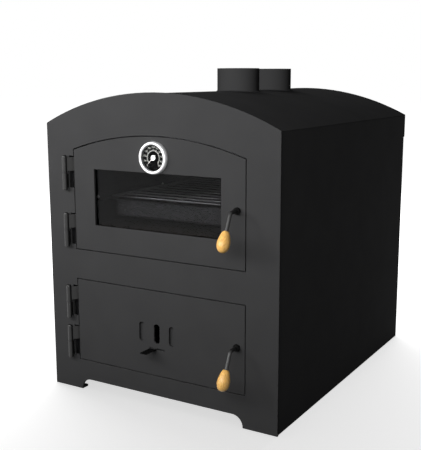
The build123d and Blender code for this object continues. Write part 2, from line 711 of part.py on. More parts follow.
# Rope seals, pressed into channels on the doors' backs
ROPE_ROUND = 4.0
for deck in DOOR_DECKS:
    with BuildPart() as channel:
        with BuildSketch(facing_front(PLATE)):
            add(ring(deck, CHANNEL_OUTER, -CHANNEL_OUTER))
        extrude(amount=-CHANNEL_SHEET)
        with BuildSketch(facing_front(PLATE)):
            add(ring(deck, CHANNEL_OUTER, CHANNEL_INNER))
            add(ring(deck, -CHANNEL_INNER, -CHANNEL_OUTER))
        extrude(amount=-(CHANNEL_DEPTH - PLATE))
    channel.part.label = f"{deck}_seal_channel"
    export_step(channel.part, f"parts/{deck}_seal_channel.step")
    with BuildPart() as rope:
        with BuildSketch(facing_front(PLATE + CHANNEL_SHEET)):
            add(ring(deck, ROPE_HALF, -ROPE_HALF))
        extrude(amount=-(ROPE_BACK - PLATE - CHANNEL_SHEET))
        fillet(rope.edges().group_by(Axis.Y)[-1], ROPE_ROUND)
    rope.part.label = f"{deck}_rope_seal"
    export_step(rope.part, f"parts/{deck}_rope_seal.step")

# Handles: rod, bush, wooden knob, latch tongue and the nut behind it
BUSH_RADIUS = 7.5
BUSH_LENGTH = 7.0
ROD_END = 19.0
ROD_IN_KNOB = 24.0
PRESS_FIT = 0.02
EGG = ((0.34, 0.0), (0.64, 0.08), (0.87, 0.3), (1.0, 0.6), (0.79, 0.86), (0.42, 0.97), (0.0, 1.0))
TONGUE_FRONT = 7.0
TONGUE_THICKNESS = 4.0
TONGUE_LENGTH = 29.0
TONGUE_HALF = 6.0
TONGUE_HUB = 9.0
TONGUE_ANGLE = -60.0
NUT_RADIUS = 7.5
NUT_THICKNESS = 6.0
LATCH_WASHER_RADIUS = 8.0
spindle_hole = ROD_RADIUS + RUNNING_FIT
knob_reach = HANDLE_DROP - KNOB_LENGTH
for deck, (middles, handle_z, seal_bottom, seal_top) in DOOR_DECKS.items():
    elbow_y = FRONT_Y + ELBOW_DEPTH
    with BuildPart() as bush:
        with BuildSketch(facing_front(-BUSH_LENGTH)):
            with Locations((HANDLE_X, handle_z)):
                Circle(BUSH_RADIUS)
        extrude(amount=-BUSH_LENGTH)
        fillet(bush.edges().group_by(Axis.Y)[0], BUSH_LENGTH / 5)
        with BuildSketch(facing_front(-BUSH_LENGTH)):
            with Locations((HANDLE_X, handle_z)):
                Circle(spindle_hole)
        extrude(amount=-BUSH_LENGTH, mode=Mode.SUBTRACT)
    bush.part.label = f"{deck}_handle_bush"
    export_step(bush.part, f"parts/{deck}_handle_bush.step")

    rod_drop = knob_reach + ROD_IN_KNOB
    with BuildPart() as rod:
        with BuildLine(facing_side(HANDLE_X)):
            route = FilletPolyline(
                (FRONT_Y + ROD_END, handle_z),
                (elbow_y, handle_z),
                (elbow_y - rod_drop * sin(LEAN), handle_z - rod_drop * cos(LEAN)),
                radius=ELBOW_RADIUS,
            )
        with BuildSketch(Plane(origin=route @ 0, z_dir=route % 0)):
            Circle(ROD_RADIUS)
        sweep(path=route)
    rod.part.label = f"{deck}_handle_rod"
    export_step(rod.part, f"parts/{deck}_handle_rod.step")

    knob_top = (HANDLE_X, elbow_y - knob_reach * sin(LEAN), handle_z - knob_reach * cos(LEAN))
    knob_plane = Plane(origin=knob_top, x_dir=(1, 0, 0), z_dir=(0, cos(LEAN), -sin(LEAN)))
    with BuildPart() as knob:
        with BuildSketch(knob_plane):
            with BuildLine():
                Line((0, 0), (KNOB_RADIUS * EGG[0][0], 0))
                Spline([(KNOB_RADIUS * across, KNOB_LENGTH * along) for across, along in EGG])
                Line((0, KNOB_LENGTH), (0, 0))
            make_face()
        revolve(axis=Axis(knob_top, (0, -sin(LEAN), -cos(LEAN))))
        with BuildSketch(Plane(origin=knob_top, z_dir=(0, -sin(LEAN), -cos(LEAN)))):
            Circle(ROD_RADIUS + PRESS_FIT)
        extrude(amount=ROD_IN_KNOB, mode=Mode.SUBTRACT)
    knob.part.label = f"{deck}_knob"
    export_step(knob.part, f"parts/{deck}_knob.step")

    tongue_end = TONGUE_LENGTH - TONGUE_HALF
    with BuildPart() as tongue:
        with BuildSketch(facing_front(TONGUE_FRONT)):
            with Locations((HANDLE_X, handle_z)):
                Circle(TONGUE_HUB)
                with Locations(Location((0, 0, 0), (0, 0, TONGUE_ANGLE))):
                    with Locations((tongue_end / 2, 0)):
                        Rectangle(tongue_end, 2 * TONGUE_HALF)
                    with Locations((tongue_end, 0)):
                        Circle(TONGUE_HALF)
                Circle(ROD_RADIUS + PRESS_FIT, mode=Mode.SUBTRACT)
        extrude(amount=-TONGUE_THICKNESS)
    tongue.part.label = f"{deck}_latch_tongue"
    export_step(tongue.part, f"parts/{deck}_latch_tongue.step")

    nut_front = TONGUE_FRONT + TONGUE_THICKNESS
    with BuildPart() as latch_nut:
        with BuildSketch(facing_front(nut_front)):
            with Locations((HANDLE_X, handle_z)):
                RegularPolygon(NUT_RADIUS, 6)
                Circle(ROD_RADIUS + PRESS_FIT, mode=Mode.SUBTRACT)
        extrude(amount=-NUT_THICKNESS)
        with BuildSketch(facing_front(PLATE + GAP)):
            with Locations((HANDLE_X, handle_z)):
                Circle(LATCH_WASHER_RADIUS)
                Circle(ROD_RADIUS + PRESS_FIT, mode=Mode.SUBTRACT)
        extrude(amount=-(TONGUE_FRONT - PLATE - GAP))
    latch_nut.part.label = f"{deck}_latch_nut"
    export_step(latch_nut.part, f"parts/{deck}_latch_nut.step")

# Upper door: plate with its window, holes for the thermometer and spindle, and blind screw holes
BOSS_RADIUS = 6.0
CLIP_X = 120.0
CLIP_SCREW_LOW = 381.0
CLIP_SCREW_HIGH = 551.0
CLIP_SCREW_DEPTH = 4.0
clip_places = [(x, z) for x in (-CLIP_X, CLIP_X) for z in (CLIP_SCREW_LOW, CLIP_SCREW_HIGH)]
with BuildPart() as upper_door_plate:
    with BuildSketch(facing_front(0)):
        add(arched(DOOR_HALF, UPPER_BOTTOM, UPPER_CORNER, UPPER_APEX))
        add(block(WINDOW_HALF, WINDOW_BOTTOM, WINDOW_TOP), mode=Mode.SUBTRACT)
        with Locations((HANDLE_X, UPPER_HANDLE_Z)):
            Circle(spindle_hole, mode=Mode.SUBTRACT)
        with Locations((0, DIAL_Z)):
            Circle(BOSS_RADIUS + PRESS_FIT, mode=Mode.SUBTRACT)
    extrude(amount=-PLATE)
    with BuildSketch(facing_front(PLATE)):
        with Locations(*clip_places):
            Circle(SCREW_HOLE)
    extrude(amount=CLIP_SCREW_DEPTH, mode=Mode.SUBTRACT)
upper_door_plate.part.label = "upper_door_plate"
export_step(upper_door_plate.part, "parts/upper_door_plate.step")

# Window: glass on a flat gasket, held by four clips and their screws
GASKET = 1.5
GLASS = 4.0
GLASS_MARGIN = 11.0
GASKET_INSET = 9.0
glass_front = PLATE + GASKET
glass_half = WINDOW_HALF + GLASS_MARGIN
glass_bottom = WINDOW_BOTTOM - GLASS_MARGIN
glass_top = WINDOW_TOP + GLASS_MARGIN
with BuildPart() as glass_gasket:
    with BuildSketch(facing_front(PLATE)):
        add(block(glass_half, glass_bottom, glass_top))
        add(
            block(glass_half - GASKET_INSET, glass_bottom + GASKET_INSET, glass_top - GASKET_INSET),
            mode=Mode.SUBTRACT,
        )
    extrude(amount=-GASKET)
glass_gasket.part.label = "glass_gasket"
export_step(glass_gasket.part, "parts/glass_gasket.step")

with BuildPart() as window_glass:
    with BuildSketch(facing_front(glass_front)):
        add(block(glass_half, glass_bottom, glass_top))
    extrude(amount=-GLASS)
window_glass.part.label = "window_glass"
export_step(window_glass.part, "parts/window_glass.step")

CLIP_SHEET = 1.5
CLIP_WIDTH = 16.0
CLIP_FOOT = 6.5
CLIP_HOLD = 6.0
clip_back = FRONT_Y + glass_front + GLASS
door_back = FRONT_Y + PLATE
with BuildPart() as glass_clips:
    for x in (-CLIP_X, CLIP_X):
        for screw_z, glass_edge, inward in (
            (CLIP_SCREW_LOW, glass_bottom, 1),
            (CLIP_SCREW_HIGH, glass_top, -1),
        ):
            riser = glass_edge - inward * GAP
            foot_end = screw_z - inward * CLIP_FOOT
            with BuildSketch(facing_side(x - CLIP_WIDTH / 2)):
                with BuildLine():
                    Polyline(
                        (door_back, foot_end),
                        (door_back, riser),
                        (clip_back, riser),
                        (clip_back, glass_edge + inward * CLIP_HOLD),
                        (clip_back + CLIP_SHEET, glass_edge + inward * CLIP_HOLD),
                        (clip_back + CLIP_SHEET, riser - inward * CLIP_SHEET),
                        (door_back + CLIP_SHEET, riser - inward * CLIP_SHEET),
                        (door_back + CLIP_SHEET, foot_end),
                        close=True,
                    )
                make_face()
            extrude(amount=CLIP_WIDTH)
    with BuildSketch(facing_front(PLATE)):
        with Locations(*clip_places):
            Circle(SCREW_HOLE)
    extrude(amount=-CLIP_SHEET, mode=Mode.SUBTRACT)
    with BuildSketch(facing_front(PLATE + CLIP_SHEET)):
        with Locations(*clip_places):
            Circle(SCREW_HEAD)
    extrude(amount=-HEAD_HEIGHT)
    with BuildSketch(facing_front(PLATE + CLIP_SHEET)):
        with Locations(*clip_places):
            Circle(SCREW_RADIUS)
    extrude(amount=CLIP_SHEET + CLIP_SCREW_DEPTH - GAP)
glass_clips.part.label = "glass_clips"
export_step(glass_clips.part, "parts/glass_clips.step")

# Thermometer: cup with a rolled bezel, dial, lens, stem through the door, nut and needle
CASE_BACK = 1.5
BEZEL_ROUND = 3.0
DIAL_SHEET = 1.0
DIAL_HOLE = 1.6
SPINDLE_RADIUS = 1.5
LENS_FRONT = 7.6
LENS = 1.4
STEM_RADIUS = 4.0
BOSS_END = 14.0
STEM_NUT_RADIUS = 10.0
HUB_RADIUS = 6.6
NEEDLE_LENGTH = 21.0
NEEDLE_ROOT = 1.3
NEEDLE_TIP = 0.5
NEEDLE_SHEET = 0.6
NEEDLE_GAP = 0.5
NEEDLE_TAIL = 9.0
HUB_HEIGHT = 1.6
NEEDLE_REST = 225.0
dial_plane_depth = -CASE_BACK - DIAL_SHEET
with BuildPart() as thermometer_case:
    with BuildSketch(facing_front(-BEZEL_DEPTH)):
        with Locations((0, DIAL_Z)):
            Circle(BEZEL_RADIUS)
    extrude(amount=-BEZEL_DEPTH)
    fillet(thermometer_case.edges().group_by(Axis.Y)[0], BEZEL_ROUND)
    with BuildSketch(facing_front(-BEZEL_DEPTH)):
        with Locations((0, DIAL_Z)):
            Circle(DIAL_RADIUS)
    extrude(amount=-(BEZEL_DEPTH - CASE_BACK), mode=Mode.SUBTRACT)
    inner_rim = thermometer_case.edges().group_by(Axis.Y)[0]
    fillet(inner_rim.sort_by(SortBy.RADIUS)[0], BEZEL_ROUND / 2)
    with BuildSketch(facing_front(-CASE_BACK)):
        with Locations((0, DIAL_Z)):
            Circle(BOSS_RADIUS + PRESS_FIT)
    extrude(amount=-CASE_BACK, mode=Mode.SUBTRACT)
thermometer_case.part.label = "thermometer_case"
export_step(thermometer_case.part, "parts/thermometer_case.step")

with BuildPart() as thermometer_dial:
    with BuildSketch(facing_front(dial_plane_depth)):
        with Locations((0, DIAL_Z)):
            Circle(DIAL_RADIUS)
            Circle(DIAL_HOLE, mode=Mode.SUBTRACT)
    extrude(amount=-DIAL_SHEET)
thermometer_dial.part.label = "thermometer_dial"
export_step(thermometer_dial.part, "parts/thermometer_dial.step")

with BuildPart() as thermometer_lens:
    with BuildSketch(facing_front(-LENS_FRONT)):
        with Locations((0, DIAL_Z)):
            Circle(DIAL_RADIUS)
    extrude(amount=-LENS)
thermometer_lens.part.label = "thermometer_lens"
export_step(thermometer_lens.part, "parts/thermometer_lens.step")

with BuildPart() as thermometer_stem:
    with BuildSketch(facing_front(-CASE_BACK)):
        with Locations((0, DIAL_Z)):
            Circle(BOSS_RADIUS)
    extrude(amount=-(BOSS_END + CASE_BACK))
    with BuildSketch(facing_front(BOSS_END)):
        with Locations((0, DIAL_Z)):
            Circle(STEM_RADIUS)
    extrude(amount=-(STEM_END - BOSS_END))
    fillet(thermometer_stem.edges().group_by(Axis.Y)[-1], STEM_RADIUS / 2)
thermometer_stem.part.label = "thermometer_stem"
export_step(thermometer_stem.part, "parts/thermometer_stem.step")

with BuildPart() as stem_nut:
    with BuildSketch(facing_front(PLATE)):
        with Locations((0, DIAL_Z)):
            RegularPolygon(STEM_NUT_RADIUS, 6)
            Circle(BOSS_RADIUS + PRESS_FIT, mode=Mode.SUBTRACT)
    extrude(amount=-NUT_THICKNESS)
stem_nut.part.label = "stem_nut"
export_step(stem_nut.part, "parts/stem_nut.step")

with BuildPart() as thermometer_needle:
    needle_depth = dial_plane_depth - NEEDLE_GAP
    with BuildSketch(facing_front(needle_depth)):
        with Locations((0, DIAL_Z)):
            with Locations(Location((0, 0, 0), (0, 0, NEEDLE_REST))):
                Polygon(
                    (-NEEDLE_TAIL, -NEEDLE_ROOT),
                    (NEEDLE_LENGTH, -NEEDLE_TIP),
                    (NEEDLE_LENGTH, NEEDLE_TIP),
                    (-NEEDLE_TAIL, NEEDLE_ROOT),
                    align=None,
                )
    extrude(amount=NEEDLE_SHEET)
    with BuildSketch(facing_front(needle_depth)):
        with Locations((0, DIAL_Z)):
            Circle(HUB_RADIUS)
    extrude(amount=HUB_HEIGHT)
    fillet(thermometer_needle.faces().sort_by(Axis.Y)[0].edges(), NEEDLE_SHEET)
    with BuildSketch(facing_front(needle_depth)):
        with Locations((0, DIAL_Z)):
            Circle(SPINDLE_RADIUS)
    extrude(amount=-(NEEDLE_GAP + DIAL_SHEET - NEEDLE_GAP / 2))
thermometer_needle.part.label = "thermometer_needle"
export_step(thermometer_needle.part, "parts/thermometer_needle.step")

# Lower door: plate with three air slots and the slot for the slider's tab
TAB_SLOT_HALF = 20.5
TAB_SLOT_HEIGHT = 4.0
slot_middle = (SLOT_BOTTOM + SLOT_TOP) / 2
with BuildPart() as lower_door_plate:
    with BuildSketch(facing_front(0)):
        add(block(DOOR_HALF, LOWER_BOTTOM, LOWER_TOP))
        with Locations((0, slot_middle)):
            with GridLocations(SLOT_PITCH, 0, 3, 1):
                SlotOverall(SLOT_TOP - SLOT_BOTTOM, SLOT_WIDTH, rotation=90, mode=Mode.SUBTRACT)
        with Locations((0, TAB_Z)):
            Rectangle(2 * TAB_SLOT_HALF, TAB_SLOT_HEIGHT, mode=Mode.SUBTRACT)
        with Locations((HANDLE_X, LOWER_HANDLE_Z)):
            Circle(spindle_hole, mode=Mode.SUBTRACT)
    extrude(amount=-PLATE)
lower_door_plate.part.label = "lower_door_plate"
export_step(lower_door_plate.part, "parts/lower_door_plate.step")

# Air slider: its middle window stays open over the whole travel, the outer two open with it
SLIDER_LEFT = -80.0
SLIDER_RIGHT = 60.0
SLIDER_BOTTOM = 127.0
SLIDER_TOP = 208.0
SLIDER_GAP = 0.4
TAB_LEFT = -18.5
TAB_WIDTH = 17.0
TAB_REACH = 39.0
WINDOW_EXTRA = 2.0
slider_window = SLOT_TOP - SLOT_BOTTOM + 2 * WINDOW_EXTRA
middle_window = SLOT_WIDTH + SLIDER_TRAVEL
with BuildPart() as air_slider:
    with BuildSketch(facing_front(PLATE + SLIDER_GAP)):
        with Locations(((SLIDER_LEFT + SLIDER_RIGHT) / 2, (SLIDER_BOTTOM + SLIDER_TOP) / 2)):
            Rectangle(SLIDER_RIGHT - SLIDER_LEFT, SLIDER_TOP - SLIDER_BOTTOM)
        with Locations((-SLOT_PITCH - SLIDER_TRAVEL, slot_middle), (SLOT_PITCH - SLIDER_TRAVEL, slot_middle)):
            Rectangle(SLOT_WIDTH, slider_window, mode=Mode.SUBTRACT)
        with Locations((-SLIDER_TRAVEL / 2, slot_middle)):
            Rectangle(middle_window, slider_window, mode=Mode.SUBTRACT)
    extrude(amount=-SHEET)
    with BuildSketch(facing_front(PLATE + SLIDER_GAP + SHEET)):
        with Locations((TAB_LEFT + TAB_WIDTH / 2, TAB_Z)):
            Rectangle(TAB_WIDTH, SHEET)
    extrude(amount=TAB_REACH + PLATE + SLIDER_GAP + SHEET)
air_slider.part.label = "air_slider"
export_step(air_slider.part, "parts/air_slider.step")

GUIDE_HALF = 70.0
GUIDE_SHEET = 1.5
GUIDE_FOOT = 14.0
GUIDE_LIP = 6.0
guide_lip_front = door_back + SLIDER_GAP + SHEET + SLIDER_GAP
with BuildPart() as slider_guides:
    for edge_z, outward in ((SLIDER_TOP, 1), (SLIDER_BOTTOM, -1)):
        riser = edge_z + outward * SLIDER_GAP
        with BuildSketch(facing_side(-GUIDE_HALF)):
            with BuildLine():
                Polyline(
                    (door_back, riser),
                    (guide_lip_front, riser),
                    (guide_lip_front, edge_z - outward * GUIDE_LIP),
                    (guide_lip_front + GUIDE_SHEET, edge_z - outward * GUIDE_LIP),
                    (guide_lip_front + GUIDE_SHEET, riser + outward * GUIDE_SHEET),
                    (door_back + GUIDE_SHEET, riser + outward * GUIDE_SHEET),
                    (door_back + GUIDE_SHEET, riser + outward * GUIDE_FOOT),
                    (door_back, riser + outward * GUIDE_FOOT),
                    close=True,
                )
            make_face()
        extrude(amount=2 * GUIDE_HALF)
slider_guides.part.label = "slider_guides"
export_step(slider_guides.part, "parts/slider_guides.step")

# Oven rack: cross wires on two side rods and a middle rod
WIRE_RADIUS = 2.2
SIDE_ROD_RADIUS = 3.0
RACK_HALF = 174.0
SIDE_ROD_X = 171.0
SIDE_ROD_Z = 460.0
MIDDLE_ROD_Z = 459.4
rack_length = (WIRE_COUNT - 1) * WIRE_PITCH
rack_front_y = FRONT_Y + RACK_FRONT
with BuildPart() as oven_rack:
    with BuildSketch(facing_side(-RACK_HALF)):
        with Locations((rack_front_y + rack_length / 2, RACK_Z)):
            with GridLocations(WIRE_PITCH, 0, WIRE_COUNT, 1):
                Circle(WIRE_RADIUS)
    extrude(amount=2 * RACK_HALF)
    with BuildSketch(facing_front(RACK_FRONT)):
        with Locations((-SIDE_ROD_X, SIDE_ROD_Z), (SIDE_ROD_X, SIDE_ROD_Z)):
            Circle(SIDE_ROD_RADIUS)
        with Locations((0, MIDDLE_ROD_Z)):
            Circle(WIRE_RADIUS)
    extrude(amount=-rack_length)
oven_rack.part.label = "oven_rack"
export_step(oven_rack.part, "parts/oven_rack.step")

# Drip tray: hangs by its rim on the rails
TRAY_HALF = 160.0
TRAY_LENGTH = 510.0
TRAY_CORNER = 18.0
TRAY_ROUND = 6.0
RIM_HALF = 175.0
RIM_LAP = 6.0
RIM_SHEET = 1.5
RIM_BOTTOM = RAIL_TOP + 0.3
tray_middle = FRONT_Y + TRAY_FRONT + TRAY_LENGTH / 2
with BuildPart() as drip_tray:
    with BuildSketch(Plane.XY.offset(TRAY_BOTTOM)):
        with Locations((0, tray_middle)):
            RectangleRounded(2 * TRAY_HALF, TRAY_LENGTH, TRAY_CORNER)
    extrude(amount=RIM_BOTTOM + RIM_SHEET - TRAY_BOTTOM)
    with BuildSketch(Plane.XY.offset(RIM_BOTTOM)):
        with Locations((0, tray_middle)):
            RectangleRounded(2 * RIM_HALF, TRAY_LENGTH + 2 * RIM_LAP, TRAY_CORNER)
    extrude(amount=RIM_SHEET)
    with BuildSketch(Plane.XY.offset(TRAY_BOTTOM + RIM_SHEET)):
        with Locations((0, tray_middle)):
            RectangleRounded(2 * (TRAY_HALF - RIM_SHEET), TRAY_LENGTH - 2 * RIM_SHEET, TRAY_CORNER - RIM_SHEET)
    extrude(amount=RIM_BOTTOM - TRAY_BOTTOM, mode=Mode.SUBTRACT)
    fillet(drip_tray.edges().group_by(Axis.Z)[1], TRAY_ROUND - RIM_SHEET)
    fillet(drip_tray.edges().group_by(Axis.Z)[0], TRAY_ROUND)
drip_tray.part.label = "drip_tray"
export_step(drip_tray.part, "parts/drip_tray.step")

# Ash pan: slides on the firebox floor under the grate
PAN_HALF = 170.0
PAN_FRONT = 70.0
PAN_LENGTH = 430.0
PAN_BOTTOM = FIRE_FLOOR + 0.3
PAN_TOP = 112.0
PAN_GRIP_HALF = 40.0
PAN_GRIP = 12.0
pan_middle = FRONT_Y + PAN_FRONT + PAN_LENGTH / 2
with BuildPart() as ash_pan:
    with BuildSketch(Plane.XY.offset(PAN_BOTTOM)):
        with Locations((0, pan_middle)):
            Rectangle(2 * PAN_HALF, PAN_LENGTH)
    extrude(amount=PAN_TOP - PAN_BOTTOM)
    with BuildSketch(Plane.XY.offset(PAN_BOTTOM + RIM_SHEET)):
        with Locations((0, pan_middle)):
            Rectangle(2 * (PAN_HALF - RIM_SHEET), PAN_LENGTH - 2 * RIM_SHEET)
    extrude(amount=PAN_TOP - PAN_BOTTOM, mode=Mode.SUBTRACT)
    with BuildSketch(Plane.XY.offset(PAN_TOP - RIM_SHEET)):
        with Locations((0, FRONT_Y + PAN_FRONT)):
            Rectangle(2 * PAN_GRIP_HALF, 2 * PAN_GRIP)
            Rectangle(2 * PAN_HALF, PAN_GRIP, align=(Align.CENTER, Align.MIN), mode=Mode.SUBTRACT)
    extrude(amount=RIM_SHEET)
ash_pan.part.label = "ash_pan"
export_step(ash_pan.part, "parts/ash_pan.step")
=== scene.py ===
# %% [markdown]
# A countertop wood-fired oven
#
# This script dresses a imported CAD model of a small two-door oven: painted sheet steel, a
# window, a dial, two turned wooden knobs and the fireproof inside. The CAD parts are the
# fixed frame. Most of them have the right shape already, but a CAD edge is perfectly sharp
# and a real one never is, so one lesson is how to take a copy of a part and round its edges.
# Bricks and wool get a worn skin. Knobs, dial, rope seals, screws and weld beads are
# modelled on their own.

# %% Load the frame
import json
import math
import random

import bpy
from mathutils import Matrix, Vector, noise

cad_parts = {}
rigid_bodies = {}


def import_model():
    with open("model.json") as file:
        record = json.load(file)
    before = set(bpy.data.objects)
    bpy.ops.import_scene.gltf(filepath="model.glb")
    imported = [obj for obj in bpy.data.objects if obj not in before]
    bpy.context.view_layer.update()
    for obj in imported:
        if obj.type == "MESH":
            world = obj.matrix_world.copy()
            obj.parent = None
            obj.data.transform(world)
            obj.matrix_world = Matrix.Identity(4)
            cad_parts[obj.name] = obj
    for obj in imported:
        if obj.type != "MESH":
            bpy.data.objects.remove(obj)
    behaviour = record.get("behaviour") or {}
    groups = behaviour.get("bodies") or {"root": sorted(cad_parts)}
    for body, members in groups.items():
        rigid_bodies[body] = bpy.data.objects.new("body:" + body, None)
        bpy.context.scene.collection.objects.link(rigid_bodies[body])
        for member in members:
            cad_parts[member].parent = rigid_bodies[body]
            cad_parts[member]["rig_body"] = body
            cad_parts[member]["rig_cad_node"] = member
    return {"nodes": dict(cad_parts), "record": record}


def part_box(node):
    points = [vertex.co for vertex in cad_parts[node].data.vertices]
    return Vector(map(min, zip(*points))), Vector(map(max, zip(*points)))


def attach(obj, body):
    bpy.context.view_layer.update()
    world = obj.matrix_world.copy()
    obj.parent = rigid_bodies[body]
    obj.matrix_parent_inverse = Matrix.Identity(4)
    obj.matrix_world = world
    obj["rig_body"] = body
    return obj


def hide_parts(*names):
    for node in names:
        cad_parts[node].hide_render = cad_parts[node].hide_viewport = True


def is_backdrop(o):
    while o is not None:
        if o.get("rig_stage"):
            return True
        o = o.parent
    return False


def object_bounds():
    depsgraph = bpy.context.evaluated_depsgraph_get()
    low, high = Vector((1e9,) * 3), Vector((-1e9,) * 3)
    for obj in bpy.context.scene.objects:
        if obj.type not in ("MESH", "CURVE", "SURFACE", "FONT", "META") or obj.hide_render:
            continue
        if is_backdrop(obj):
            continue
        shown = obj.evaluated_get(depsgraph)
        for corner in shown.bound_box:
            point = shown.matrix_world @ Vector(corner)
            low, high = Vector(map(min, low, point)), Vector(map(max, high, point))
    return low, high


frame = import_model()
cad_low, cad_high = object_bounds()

MM = 0.001
nodes = frame["nodes"]
print("nodes", len(nodes), "box", [round(v, 4) for v in (*cad_low, *cad_high)])

# %% [markdown]
# The camera and the frame of the picture
#
# The picture was taken from the right of the doors, a little above the roof. The camera
# stands at a measured place and looks along a measured direction. A quaternion built with
# to_track_quat turns the camera so that it looks along that direction with its top up, and a
# small extra roll is turned about the line of sight. The sensor width always belongs to the
# longer side of the picture, so the focal length is given for that side.

# %% Camera
CAMERA_PLACE = Vector((0.9808, -1.7449, 0.7318))
CAMERA_LOOKS = Vector((-0.50739, 0.84239, -0.18149))
CAMERA_ROLL = math.radians(0.155)
CAMERA_LENS = 64.03
CAMERA_SENSOR = 36.0
NEAREST_SEEN = 0.05

bpy.ops.object.camera_add(location=CAMERA_PLACE)
camera = bpy.context.object
camera.rotation_mode = "QUATERNION"
line_of_sight = CAMERA_LOOKS.to_track_quat("-Z", "Y")
roll = Matrix.Rotation(CAMERA_ROLL, 4, CAMERA_LOOKS).to_quaternion()
camera.rotation_quaternion = roll @ line_of_sight
camera.data.lens = CAMERA_LENS
camera.data.sensor_width = CAMERA_SENSOR
camera.data.clip_start = NEAREST_SEEN
bpy.context.scene.camera = camera
bpy.context.scene.view_settings.view_transform = "Standard"
print("camera", camera.name, "lens", camera.data.lens)

# %% [markdown]
# Helpers for node trees
#
# A material is a small network of nodes, and a node's sockets are either linked or set. These
# helpers make a node with its settings and feed its sockets in one step, do one sum and mix
# two colours, so that the cells below can be read as a recipe.

# %% Node helpers
def feed(tree, sockets, values):
    """Links or sets sockets by label or number. A colour of three numbers is made opaque."""
    for label, value in values.items():
        if isinstance(value, bpy.types.NodeSocket):
            tree.links.new(value, sockets[label])
        elif sockets[label].type == "RGBA":
            sockets[label].default_value = (*value, 1.0)
        else:
            sockets[label].default_value = value


def node(tree, kind, values=(), **settings):
    made = tree.nodes.new(kind)
    for name, setting in settings.items():
        setattr(made, name, setting)
    feed(tree, made.inputs, dict(values))
    return made


def maths(tree, operation, *values):
    return node(tree, "ShaderNodeMath", enumerate(values), operation=operation).outputs[0]


def mix_colours(tree, factor, first, second, way="MIX"):
    colours = {0: factor, 6: first, 7: second}
    return node(tree, "ShaderNodeMix", colours, data_type="RGBA", blend_type=way).outputs[2]


# %% [markdown]
# The floor, the white backdrop and the world
#
# The object stands in a white studio. A white background must not come from brighter lamps,
# because they would wash out the black paint. The Light Path node tells what kind of ray is
# asking: rays from the camera, from a mirror surface and through glass see white, while the
# rays that light the object see a calm grey. The floor adds its white glow to an ordinary
# diffuse floor. The glow is weaker near the oven, where the lamps' own light and shadow
# count, and an Ambient Occlusion node paints a slight shade into the glow in the gap under
# the base plate.

# %% Rays that see the backdrop
def sees_backdrop(tree):
    path = node(tree, "ShaderNodeLightPath")
    direct = maths(tree, "MAXIMUM", path.outputs["Is Camera Ray"], path.outputs["Is Glossy Ray"])
    return maths(tree, "MAXIMUM", direct, path.outputs["Is Transmission Ray"])


# %% World
AMBIENT = 0.10
WHITE = (1.0, 1.0, 1.0)
world = bpy.data.worlds.new("studio")
world.use_nodes = True
sky = world.node_tree
sky.nodes.clear()
ambient = node(sky, "ShaderNodeBackground", {"Color": WHITE, "Strength": AMBIENT}).outputs[0]
backdrop = node(sky, "ShaderNodeBackground", {"Color": WHITE}).outputs[0]
mixed = node(sky, "ShaderNodeMixShader", {0: sees_backdrop(sky), 1: ambient, 2: backdrop})
node(sky, "ShaderNodeOutputWorld", {"Surface": mixed.outputs[0]})
bpy.context.scene.world = world
print("world", world.name, "ambient", AMBIENT)

# %% Floor
FLOOR_SIZE = 40.0
FLOOR_LIGHTING = (0.35, 0.35, 0.35)
FLOOR_SEEN = (0.80, 0.80, 0.80)
SHADOW_REACH = 0.045
SHADOW_DEPTH = 0.04
NEAR_GLOW = 0.69
FAR_GLOW = 1.0
NEAR_RADIUS = 0.75
FAR_RADIUS = 1.8

bpy.ops.object.select_all(action="DESELECT")
bpy.ops.mesh.primitive_plane_add(size=FLOOR_SIZE, location=(0.0, 0.0, 0.0))
floor = bpy.context.object
floor.name = "studio_floor"
floor_material = bpy.data.materials.new("studio_floor")
floor_material.use_nodes = True
tree = floor_material.node_tree
tree.nodes.clear()
seen = sees_backdrop(tree)
# Painted shade: the occlusion dims the floor's glow in the gap under the oven.
hollow = node(tree, "ShaderNodeAmbientOcclusion", {"Distance": SHADOW_REACH}, samples=8)
painted_gap_shade = maths(tree, "POWER", hollow.outputs["AO"], SHADOW_DEPTH)
place = node(tree, "ShaderNodeTexCoord").outputs["Object"]
distance = node(tree, "ShaderNodeVectorMath", {0: place}, operation="LENGTH").outputs["Value"]
ends = {"From Min": NEAR_RADIUS, "From Max": FAR_RADIUS, "To Min": NEAR_GLOW, "To Max": FAR_GLOW}
fill = node(tree, "ShaderNodeMapRange", {"Value": distance, **ends}).outputs[0]
brightness = maths(tree, "MULTIPLY", maths(tree, "MULTIPLY", painted_gap_shade, fill), seen)
grey = mix_colours(tree, seen, FLOOR_LIGHTING, FLOOR_SEEN)
matt = node(tree, "ShaderNodeBsdfDiffuse", {"Color": grey}).outputs[0]
glow = node(tree, "ShaderNodeEmission", {"Strength": brightness}).outputs[0]
together = node(tree, "ShaderNodeAddShader", {0: matt, 1: glow}).outputs[0]
node(tree, "ShaderNodeOutputMaterial", {"Surface": together})
floor.data.materials.append(floor_material)
floor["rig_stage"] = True
print("floor", floor.dimensions[:2])

# %% [markdown]
# Effects that several finishes share
#
# Paint, steel, brick and wool all need the same few tricks: a colour that is never quite even,
# a fine relief, stray specks and a grain that runs one way. Each is a node group, built once.
# A group gives out only a colour, a value, a mask or a normal, and each material brings its
# own sizes. A count is so many per metre, because Object coordinates are in metres here.

# %% How a node group is started
VECTORS = ("Place", "Counts", "Normal")


def start_effect(name, outputs, *inputs):
    """Every effect takes a place. The label of a socket decides what kind of value it carries."""
    group = bpy.data.node_groups.new(name, "ShaderNodeTree")
    for way, labels in (("INPUT", ("Place", *inputs)), ("OUTPUT", outputs)):
        for label in labels:
            kind = "Vector" if label in VECTORS else "Color" if label == "Colour" else "Float"
            group.interface.new_socket(label, in_out=way, socket_type="NodeSocket" + kind)
    return group, node(group, "NodeGroupInput").outputs, node(group, "NodeGroupOutput").inputs


